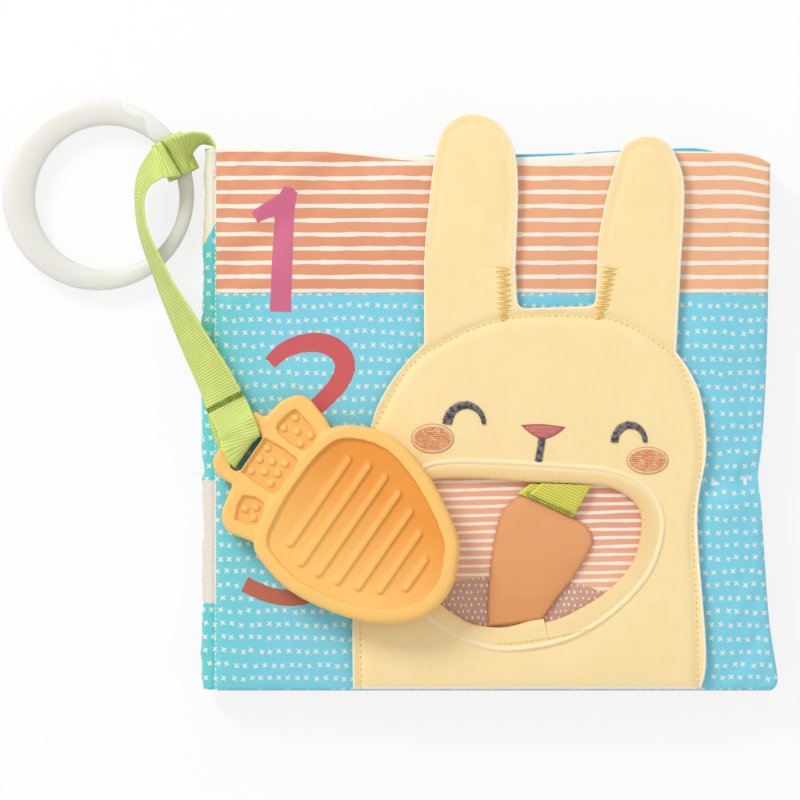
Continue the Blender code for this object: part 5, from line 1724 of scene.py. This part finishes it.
class BOOK_OT_spine(BookOperator):
    """Make the printed roll of the spine, its white seam and its bar tack"""
    bl_idname = "cloth_book.spine"
    bl_label = "Spine"

    def execute(self, context):
        sizes = context.scene.book_sizes
        low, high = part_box("spine_outer_cloth")
        middle = Vector((high.x, (low.z + high.z) / 2))
        half, bulge = (high.z - low.z) / 2, high.x - low.x
        steps, rows = 20, 150
        ys = np.linspace(low.y, high.y, rows)
        vertices = []
        for y in ys:
            pull = 0.00022 * noise.noise(Vector((0, y * 210, 2.5)))
            pull += 0.00012 * noise.noise(Vector((4, y * 700, 0)))
            for inset in (0.0, COVER_CLOTH):
                for k in range(steps + 1):
                    a = math.pi * k / steps
                    ripple = 1 + (pull - 0.0001) * math.sin(a) ** 2 / bulge * 3
                    full = bulge + 0.0008 * min(1, (high.y - y) / 0.05)
                    vertices.append((middle.x - (full - inset) * ripple * math.sin(a), y,
                                     middle.y + (half - inset) * math.cos(a)))
        ring = 2 * (steps + 1)
        order = list(range(steps + 1)) + [ring - 1 - k for k in range(steps + 1)]
        faces = [tuple((row * ring + order[k], row * ring + order[(k + 1) % ring],
                        (row + 1) * ring + order[(k + 1) % ring], (row + 1) * ring + order[k]))
                 for row in range(rows - 1) for k in range(ring)]
        for row in (0, rows - 1):
            faces += [(row * ring + k, row * ring + k + 1, row * ring + steps + 2 + k,
                       row * ring + steps + 1 + k) for k in range(steps)]
        roll = outward(mesh_object("spine_satin", vertices, faces, looks("spine satin")))
        settle(roll, "back_cover", "printed_satin", "spine_outer_cloth")
        self.seam(sizes)
        return {"FINISHED"}

    def seam(self, sizes):
        """White stitches down the cover's edge beside the spine, and the tack near its top."""
        column = at_column(215.6)
        path = resting("front_cover_satin", [(column, y) for y in np.linspace(
            at_row(228), at_row(685), 160)], 0.00008)
        thread_run("spine_seam_stitches", [path], "front_cover", "white thread", slot_name="printed_satin",
                   Pitch=0.00158, Length=0.00118, Radius=sizes.thread * 0.55, Uneven=0.12, Sink=0.4)
        tack = resting("front_cover_satin", [(at_column(214.4), at_row(row))
                                             for row in np.linspace(150, 176, 8)], 0.0006)
        thread_run("spine_bar_tack", [tack], "front_cover", "white thread", slot_name="printed_satin",
                   Pitch=0.00046, Length=0.0019, Radius=sizes.thread * 0.6, Turn=math.pi / 2, Zigzag=0.2,
                   Uneven=0.12, Sink=1.6)


class BOOK_OT_bunny(BookOperator):
    """Make the bunny's velour, its loose ears, and the gold stitches that hold them"""
    bl_idname = "cloth_book.bunny"
    bl_label = "Bunny"
    lean = (0.00026, -0.0002)

    def execute(self, context):
        sizes = context.scene.book_sizes
        spacing = 0.00088
        fold = at_row(267)
        panel = traced(PANEL_PIXELS, PANEL_CORNERS, 6)
        ears = {"left_ear": LEFT_EAR_PIXELS, "right_ear": RIGHT_EAR_PIXELS}
        outlines = {name: traced(pixels, {0, 9}, 8)[:-7] for name, pixels in ears.items()}
        cut_edges = [np.array([tuple(p) for p in line]) for line in outlines.values()]
        whole = closed_line(panel)
        level = np.abs(whole[:, 1] - fold) < 0.00001
        runs, run = [], []
        for point, flat in zip(whole, level):
            run.append(point)
            if flat:
                runs.append(run)
                run = [point]
        runs.append(run)
        cut_edges += [np.array(line) for line in runs if len(line) > 4]
        hole = widened(traced(CREST_PIXELS, (), 6), -0.0002)
        velour = soft_plate(
            "bunny_velour", [Vector((p.x, min(p.y, fold - 0.00001))) for p in panel], [hole], spacing,
            lambda p, d: panel_height(p) - rounded(d, 0.0005),
            lambda p, d: np.full(len(p), PANEL_LOW) - cover_dip(p[:, 1]) + 0.00002 * d,
            looks("velour"), cut_edges, self.lean,
        )
        settle(velour, "front_cover", "yellow_velour", "bunny_panel")
        for name, outline in outlines.items():
            closed = [Vector((p.x, max(p.y, fold + 0.00001))) for p in outline]
            ear = soft_plate(
                f"{name}_velour", closed, [], spacing,
                lambda p, d: self.ear_top(p, d, fold), self.ear_bottom, looks("velour"), cut_edges,
                self.lean,
            )
            settle(ear, name, "yellow_velour", name)
        self.stitches(sizes)
        return {"FINISHED"}

    def ear_top(self, points, distance, fold):
        swell = wave(points, 0.030, 2) * 0.00016 + wave(points, 0.011, 4) * 0.00005
        near_fold = np.clip((points[:, 1] - fold) / 0.012, 0, 1)
        belly = 0.0002 * near_fold * np.clip(distance / 0.01, 0, 1)
        seam = np.exp(-(((distance - 0.0030) / 0.0011) ** 2)) * 0.00022 * near_fold
        return PANEL_TOP + 0.0001 + swell + belly - seam - rounded(distance, 0.0005)

    def ear_bottom(self, points, distance):
        return EAR_LOW + 0.0001 + rounded(distance, 0.0008)

    def stitches(self, sizes):
        path = even(traced(PANEL_STITCH_PIXELS, (), 6, closed=False), 0.0008, closed=False)
        thread_run("bunny_stitches", [on_panel(path, 0.00008)], "front_cover", "gold thread",
                   Pitch=sizes.stitch_pitch, Length=sizes.stitch_length, Radius=sizes.thread / 2,
                   Uneven=0.12, Sink=0.7)
        for name, start, end in (("left_ear_tack", (502.7, 268), (505, 319.5)),
                                 ("right_ear_tack", (610, 268), (600, 318.5))):
            line = [place(start).lerp(place(end), t) for t in np.linspace(0, 1, 12)]
            lean = math.atan2(end[0] - start[0], end[1] - start[1])
            tack = thread_run(f"{name}_thread", [on_panel(line, 0.0003)], "front_cover", "tack thread",
                              Pitch=0.00078, Length=pixels_long(14.5), Radius=0.00022,
                              Turn=math.pi / 2 - lean, Zigzag=0.17, Uneven=0.12, Sink=1.2)
            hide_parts(name)


class BOOK_OT_window(BookOperator):
    """Make the printed pocket cloth and the ribbed binding of the belly window"""
    bl_idname = "cloth_book.window"
    bl_label = "Belly window"

    def execute(self, context):
        sizes = context.scene.book_sizes
        spacing = 0.001
        pocket_rim = traced(CREST_PIXELS, (), 6)

        def top(points, distance):
            ripple = wave(points, 0.012, 8) * 0.00012
            return 0.01702 + ripple * np.clip(distance / 0.006, 0, 1) - cover_dip(points[:, 1])

        pocket = soft_plate("window_pocket", pocket_rim, [], spacing, top,
                            lambda p, d: top(p, d) - 0.00035, looks("pocket satin"),
                            [closed_line(pocket_rim)])
        area = abs(turning([Vector(p) for p in even(pocket_rim, 0.001)])) / 2
        settle(pocket, "front_cover", "pocket_cloth", "window_print")
        self.binding(sizes)
        path = even(traced(BINDING_STITCHES, (), 6, closed=False), 0.0008, closed=False)
        rows = [resting("window_band", path, 0.0001)]
        thread_run("window_stitches", rows, "front_cover", "tack thread", Pitch=0.0017, Length=0.0015,
                   Radius=sizes.thread * 0.5, Uneven=0.5, Sink=0.7)
        return {"FINISHED"}

    def binding(self, sizes):
        """A soft folded band: ribs on its face, a crest beside the velour, and its lapped ends, with painted
        shade in the ribs' grooves and on the inner slope and a painted highlight along the crest.
        """
        inner = traced(WINDOW_PIXELS, (), 6)
        total = sum((b - a).length for a, b in zip(inner, inner[1:] + inner[:1]))
        ribs = round(total / sizes.binding_rib)
        path = even(inner, total / (ribs * 5))
        rows = len(path)
        tangents = np.roll(path, -3, axis=0) - np.roll(path, 3, axis=0)
        tangents /= np.linalg.norm(tangents, axis=1)[:, None]
        side = np.stack([tangents[:, 1], -tangents[:, 0]], axis=1)
        if turning([Vector(p) for p in path]) < 0:
            side = -side
        widths = distance_to(path, closed_line(traced(CREST_PIXELS, (), 6)))
        for _ in range(60):
            widths = (np.roll(widths, 1) + 2 * widths + np.roll(widths, -1)) / 4
        # The last column is the painted highlight along the crest
        share, beyond, height, lies, ribbed, pale = np.array(BINDING_PROFILE).T
        lap = int(np.argmin(np.linalg.norm(path - np.array(place((544, 621.5))), axis=1)))
        after = ((np.arange(rows) - lap) % rows) / rows * total
        lapped = after < total / 2
        bulge = (np.exp(-((np.maximum(after - 0.003, 0) / 0.0065) ** 2)) * lapped)[:, None]
        pinch = (np.exp(-(((total - after) / 0.0016) ** 2)) * ~lapped)[:, None]
        phase = np.cos(2 * math.pi * ribs * np.arange(rows) / rows)[:, None]
        # How strong the ribs and their painted shade are: most on the band's upper part
        strength = 0.35 + 0.65 * np.clip((side @ np.array((0.3, 0.95)) + 0.5) / 0.9, 0, 1)[:, None]
        face = np.clip((height - 18.6) / 0.4, 0, 1) * (lies == 0)
        out = widths[:, None] * share + beyond * MM
        over = face * np.clip(1 - out / (widths[:, None] * 0.85), 0, 1)
        rib = 0.00006 * phase * ribbed * strength
        wander = np.array([noise.noise(Vector((x * 90, y * 90, 1))) for x, y in path])[:, None] * 0.00012
        spots = path[:, None, :] + side[:, None, :] * (out - 0.0014 * bulge * over - rib + wander)[..., None]
        flat = spots.reshape(-1, 2)
        free = height * MM + rib + (0.00030 * bulge - 0.00030 * pinch) * face * (1 - 0.7 * share)
        free = free.reshape(-1) - cover_dip(flat[:, 1])
        laid = panel_height(flat) + np.tile(height * MM, rows)
        level = np.where(np.tile(lies == 1, rows), laid, free)
        sides = len(height)
        band = mesh_object("window_band", np.column_stack([flat, level]), tube_faces(rows, sides, True),
                           looks("ribbing"))
        # Painted highlight along the raised edge where the band laps
        edge = np.exp(-((after / 0.0006) ** 2))[:, None] * lapped[:, None] * face
        # Painted shade in the grooves between the ribs
        store(band, "groove", ((0.5 - 0.5 * phase) * ribbed * strength).reshape(-1))
        # Painted highlight along the crest and along the lap's edge
        store(band, "crest", np.maximum(np.broadcast_to(pale, (rows, sides)), edge).reshape(-1))
        # Painted shade on the inner slope, warmer and darker
        store(band, "inner", (np.clip(1 - out / (widths[:, None] * 0.8), 0, 1) * (0.2 + 0.6 * strength)
                              * (1 - 0.7 * bulge)).reshape(-1))
        outward(band)
        settle(band, "front_cover", "yellow_ribbing", "window_binding")


class BOOK_OT_face(BookOperator):
    """Sew the eyes, cheeks, nose and mouth in rows of thread"""
    bl_idname = "cloth_book.face"
    bl_label = "Face"

    def execute(self, context):
        for name, centre, halves, stroke, widths in (
            ("left_eye", (465.5, 424), (18.3, 19), 9.4, (0.52, 0.72, 0.92, 1.08, 1.17)),
            ("right_eye", (629.5, 442), (15.3, 17), 8.4, (0.62, 0.82, 0.98, 1.08, 1.0)),
        ):
            angles = np.linspace(0.02, math.pi - 0.02, 30)
            arc = [place((centre[0] + halves[0] * math.cos(a), centre[1] - halves[1] * math.sin(a)))
                   for a in angles]
            reach = np.interp(angles, np.linspace(0, math.pi, 5), widths)
            self.satin_line(name, arc, stroke, [reach])
        line = [place(p) for p in ((541.8, 438.8), (540.9, 446), (539.6, 454), (538.4, 461))]
        self.satin_line("mouth", line, 8.0)
        corners = (520.5, 425), (541, 424), (565.5, 427), (555, 435), (543, 439), (531, 434)
        rim = traced(corners, {0, 2}, 6)
        self.patch("nose", "nose_threads", rim, "nose thread", "pink_thread")
        for name, centre, wide, high in (("left_cheek", (432.5, 438.4), 21.5, 15),
                                         ("right_cheek", (647, 460.4), 21, 14)):
            rim = [place(centre) + Vector((pixels_long(wide) * math.cos(a), pixels_long(high) * math.sin(a)))
                   for a in np.linspace(0, math.tau, 72, endpoint=False)]
            self.patch(name, f"{name}_threads", rim, "cheek thread", "orange_thread")
        return {"FINISHED"}

    def satin_line(self, node, line, stroke, reach=None):
        """Close stitches of dark thread across a line, as long as the stroke is wide in pixels."""
        thread = bpy.context.scene.book_sizes.satin_thread
        sewn = thread_run(f"{node}_threads", [on_panel(line, 0.0004)], "front_cover", "charcoal thread",
                          reach=reach, slot_name="charcoal_thread", Pitch=thread * 0.9,
                          Length=pixels_long(stroke), Radius=thread * 0.52, Turn=math.pi / 2,
                          Uneven=0.12, Sink=1.5)
        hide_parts(node)

    def patch(self, node, name, rim, finish, slot_name):
        """One raised field of embroidery."""

        def top(points, distance):
            swell = 0.0005 * np.sqrt(np.clip(distance / 0.0012, 0, 1))
            return panel_height(points) + 0.0001 + swell + wave(points, 0.0007, 6) * 0.00003

        patch = soft_plate(name, rim, [], 0.0005, top, lambda p, d: panel_height(p) - 0.0001,
                           looks(finish), [closed_line(rim)])
        settle(patch, "front_cover", slot_name, node)


class BOOK_OT_carrot(BookOperator):
    """Make the cloth carrot in the window and the ribbon that holds it"""
    bl_idname = "cloth_book.carrot"
    bl_label = "Cloth carrot"

    def execute(self, context):
        sizes = context.scene.book_sizes
        outline = traced(CARROT_PIXELS, {6, 7}, 6)
        rim = closed_line(outline)

        def top(points, distance):
            tucked = np.clip((at_row(598) - points[:, 1]) / 0.008, 0, 1)
            crown = 0.0011 * (1 - np.exp(-distance / 0.0028)) * (1 - 0.85 * tucked) - 0.0003 * tucked
            return 0.01835 + crown + wave(points, 0.012, 9) * 0.00008 - rounded(distance, 0.0007) * 0.9

        def bottom(points, distance):
            return 0.01745 + rounded(distance, 0.0004)

        spacing = 0.0008
        body = soft_plate("carrot_cloth", outline, [], spacing, top, bottom, looks("carrot cloth"), [rim])
        settle(body, "carrot", "terracotta_cloth", "cloth_carrot")
        self.tab(sizes)
        return {"FINISHED"}

    def tab(self, sizes):
        """Two layers of ribbon, the upper one a little to the right, sewn to the carrot's top."""
        layers = (
            ("carrot_tab_upper", ((541, 483), (526.5, 496.5), (572, 517.5), (591.5, 485)), 0.0195),
            ("carrot_tab_lower", ((530.5, 483.5), (517.5, 493.3), (563, 513.5), (581, 486)), 0.01885),
        )
        for name, shape, height in layers:
            corners = [place(p) for p in shape]
            hem = (corners[2] - corners[1]).normalized()
            upward = Vector((-hem.y, hem.x))
            rows, lanes = 16, 10
            vertices, maps = [], []
            for face_side in (0.0, -0.0004):
                for row in range(rows + 1):
                    s = row / rows
                    for lane in range(lanes + 1):
                        t = lane / lanes
                        start = corners[0].lerp(corners[3], t)
                        end = corners[1].lerp(corners[2], t)
                        point = start.lerp(end, s)
                        bow = 0.00035 * math.sin(math.pi * s) - 0.0004 * (1 - s) ** 2
                        vertices.append((*point, height + bow + face_side))
                        maps.append(((point - corners[1]).dot(upward) * 10, t))
            tab = mesh_object(name, vertices, layer_faces(rows + 1, lanes + 1), looks("tab grosgrain"))
            uv = tab.data.uv_layers.new(name="ribbon")
            uv.data.foreach_set("uv", [value for loop in tab.data.loops for value in maps[loop.vertex_index]])
            outward(tab, weld=False)
            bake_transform(tab)
            if name.endswith("upper"):
                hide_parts("carrot_ribbon")
        seams = [[Vector((*place((x, y - rise)), 0.01985)) for x, y in (
            (528, 496.5), (542, 503), (556, 509), (571, 515.6))] for rise in (0.6, 3.0)]
        thread_run("carrot_tab_stitches", seams, "carrot", "lime thread", slot_name="lime_ribbon",
                   Pitch=0.0010, Length=0.0011, Radius=sizes.thread * 0.5, Uneven=0.6, Sink=0.5)


def ring_band(direction):
    """Middle of the ring's band in a direction from its centre, and half the band's width."""
    offset = Vector(RING_OFFSET)
    along = direction.dot(offset)
    inner = along + math.sqrt(RING_HOLE**2 - (offset.length_squared - along * along))
    return Vector(RING_CENTRE) + direction * (RING_RADIUS + inner) / 2, (RING_RADIUS - inner) / 2


class BOOK_OT_ring(BookOperator):
    """Mould the milky link ring, with its S-shaped split"""
    bl_idname = "cloth_book.ring"
    bl_label = "Link ring"

    def execute(self, context):
        sides = 44
        shares = np.concatenate([np.linspace(0.235, 1.115, 190, endpoint=False),
                                 np.linspace(1.115, 1.235, 200, endpoint=False)]) % 1.0
        split = np.array([tuple(p) for p in smooth(
            [Vector(p) for p in SPLIT_SHARES[::-1]], (), 6, closed=False)])
        vertices, side, near = [], [], []
        for share in shares:
            a = math.tau * share
            direction = Vector((math.cos(a), math.sin(a)))
            middle, half = ring_band(direction)
            route = np.interp(share, split[:, 0], split[:, 1], left=-0.3, right=1.5)
            fade = float(np.interp(share, (0.0, 0.13), (0.0, 1.0))) if share < 0.3 else 0.0
            for k in range(sides):
                b = math.tau * k / sides
                across, up = math.cos(b), math.sin(b)
                out = half * math.copysign(abs(across) ** 0.8, across)
                vertices.append((*(middle + direction * out),
                                 RING_Z + RING_HALF * math.copysign(abs(up) ** 0.65, up)))
                side.append((out / half + 1) / 2 - route if share < 0.3 else -1.0)
                near.append(fade)
        ring = mesh_object("milky_ring", vertices, tube_faces(len(shares), sides, True),
                           looks("milky plastic"))
        store(ring, "side", side)
        store(ring, "near", near)
        outward(ring)
        settle(ring, "link_ring", "milky_plastic", "link_ring")
        return {"FINISHED"}


def teether_point(share):
    """A share of the teether's length and width, in its own frame."""
    return Vector(((share[0] - TEETHER_AXIS_SHARE) * TEETHER_LENGTH, share[1] * TEETHER_WIDTH))


def teether_frame():
    turn = Matrix.Rotation(TEETHER_TURN, 4, "Z")
    at = Vector((*place(TEETHER_AT_PIXELS), TEETHER_HEIGHT)) + turn @ Vector((
        TEETHER_AXIS_SHARE * TEETHER_LENGTH, 0, 0))
    return Matrix.Translation(at) @ turn @ Matrix.Rotation(-TEETHER_TILT, 4, "Y")


class BOOK_OT_teether(BookOperator):
    """Soften the teether's edges as moulded silicone has them"""
    bl_idname = "cloth_book.teether"
    bl_label = "Teether"

    def execute(self, context):
        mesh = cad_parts["teether"].data.copy()
        thing = link(bpy.data.objects.new("soft_teether", mesh))
        mesh.materials.clear()
        mesh.materials.append(looks("silicone"))
        outward(thing)
        remade = thing.modifiers.new("remade", "REMESH")
        remade.mode = "VOXEL"
        remade.voxel_size = 0.00036
        remade.use_smooth_shade = True
        softer = thing.modifiers.new("softer", "SMOOTH")
        softer.factor = 0.5
        softer.iterations = 3
        thing = made_plain(thing, "soft_teether")
        self.press(thing)
        self.domes()
        settle(thing, "teether", "orange_silicone", "teether")
        return {"FINISHED"}

    def press(self, thing):
        """Deepens the body's hollow, and notes painted shade for each point of the upper side: in the hollow,
        more on its floor than on its ribs and towards its upper right wall, and less in the pockets.
        """
        mesh = thing.data
        points, normals = np.empty(len(mesh.vertices) * 3), np.empty(len(mesh.vertices) * 3)
        mesh.vertices.foreach_get("co", points)
        mesh.vertices.foreach_get("normal", normals)
        frame_of = np.array(teether_frame())
        home = np.linalg.inv(frame_of)
        local = points.reshape(-1, 3) @ home[:3, :3].T + home[:3, 3]
        facing = normals.reshape(-1, 3) @ home[:3, :3].T
        plan, height = local[:, :2], local[:, 2].copy()
        body = smooth([teether_point(share) for share in TEETHER_BODY_SHARES], (), 4)
        hollow = even(widened(body, -TEETHER_RIM), 0.0009)
        depth = distance_to(plan, hollow, closed=True) * inside(plan, hollow)
        upper = np.clip((facing[:, 2] - 0.1) / 0.3, 0, 1) * (height > 0)
        ease = np.clip(depth / 0.008, 0, 1)
        local[:, 2] -= 0.0008 * ease * ease * (3 - 2 * ease) * (height > 0.0006) * (depth > 0)
        middle = Vector((0.0, 0.0))
        for point in body:
            middle += point / len(body)
        # How far towards the hollow's upper right a point lies, where the wall shades it
        toward_shaded_wall = (frame_of[:2, :2] @ (plan - np.array(middle)).T).T @ np.array((0.6, 0.8))
        # Painted shade: more on the hollow's floor than on its ribs, and more towards its upper right
        sunk = np.clip((0.0037 - height) / 0.0007, 0, 1) * (depth > 0) * upper
        sunk *= np.clip(0.55 + toward_shaded_wall / 0.034, 0.12, 1)
        for shares in TEETHER_POCKET_SHARES:
            pocket = even(smooth([teether_point(share) for share in shares], (), 4), 0.0006)
            within = inside(plan, pocket) * np.clip((0.0026 - height) / 0.0010, 0, 1) * upper
            # Painted shade in the pockets
            sunk = np.maximum(sunk, 0.35 * within)
        moved = local @ frame_of[:3, :3].T + frame_of[:3, 3]
        mesh.vertices.foreach_set("co", moved.reshape(-1))
        mesh.update()
        store(thing, "sunk", sunk)

    def domes(self):
        """The small domes in the carrot top's pockets."""
        frame_of = teether_frame()
        points = [frame_of @ Vector((*teether_point(share), 0.00125)) for share in TEETHER_BUMP_SHARES]
        thing = grown("teether_domes", points, [], dome_tree(), Radius=0.00125, Height=0.0011,
                      Material=looks("silicone"))
        settle(thing, "teether", "orange_silicone")


class BOOK_OT_filling(BookOperator):
    """Give the hidden layers their finishes: wadding, crinkle film and lining"""
    bl_idname = "cloth_book.filling"
    bl_label = "Filling"

    def execute(self, context):
        for name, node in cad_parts.items():
            if "padding" in name or "wadding" in name:
                finish = "wadding"
            elif "film" in name:
                finish = "crinkle film"
            elif name == "spine_lining":
                finish = "spine lining"
            else:
                finish = None
            if finish and not node.material_slots:
                raise RuntimeError(f"{name} has no material slot")
            for slot in node.material_slots if finish else ():
                slot.material = looks(finish)
        return {"FINISHED"}


class BOOK_PT_panel(bpy.types.Panel):
    bl_idname = "BOOK_PT_panel"
    bl_label = "Cloth Book"
    bl_space_type = "VIEW_3D"
    bl_region_type = "UI"
    bl_category = "Cloth Book"

    def draw(self, context):
        for operator in OPERATORS:
            self.layout.operator(operator.bl_idname)
        for group in (context.scene.book_sizes, context.scene.book_colours, context.scene.book_studio):
            box = self.layout.box()
            for name in type(group).__annotations__:
                box.prop(group, name)


OPERATORS = (
    BOOK_OT_studio, BOOK_OT_ribbons, BOOK_OT_covers, BOOK_OT_leaves, BOOK_OT_spine, BOOK_OT_bunny,
    BOOK_OT_window, BOOK_OT_face, BOOK_OT_carrot, BOOK_OT_ring, BOOK_OT_teether, BOOK_OT_filling,
)
CLASSES = (BookColours, BookSizes, BookStudio, *OPERATORS, BOOK_PT_panel)


def register():
    for kind in CLASSES:
        bpy.utils.register_class(kind)
    bpy.types.Scene.book_colours = PointerProperty(type=BookColours)
    bpy.types.Scene.book_sizes = PointerProperty(type=BookSizes)
    bpy.types.Scene.book_studio = PointerProperty(type=BookStudio)


def unregister():
    del bpy.types.Scene.book_colours
    del bpy.types.Scene.book_sizes
    del bpy.types.Scene.book_studio
    for kind in reversed(CLASSES):
        bpy.utils.unregister_class(kind)


def main():
    register()
    bpy.ops.cloth_book.studio()
    bpy.ops.cloth_book.ribbons()
    bpy.ops.cloth_book.covers()
    bpy.ops.cloth_book.leaves()
    bpy.ops.cloth_book.spine()
    bpy.ops.cloth_book.bunny()
    bpy.ops.cloth_book.window()
    bpy.ops.cloth_book.face()
    bpy.ops.cloth_book.carrot()
    bpy.ops.cloth_book.ring()
    bpy.ops.cloth_book.teether()
    bpy.ops.cloth_book.filling()


if __name__ == "__main__":
    main()
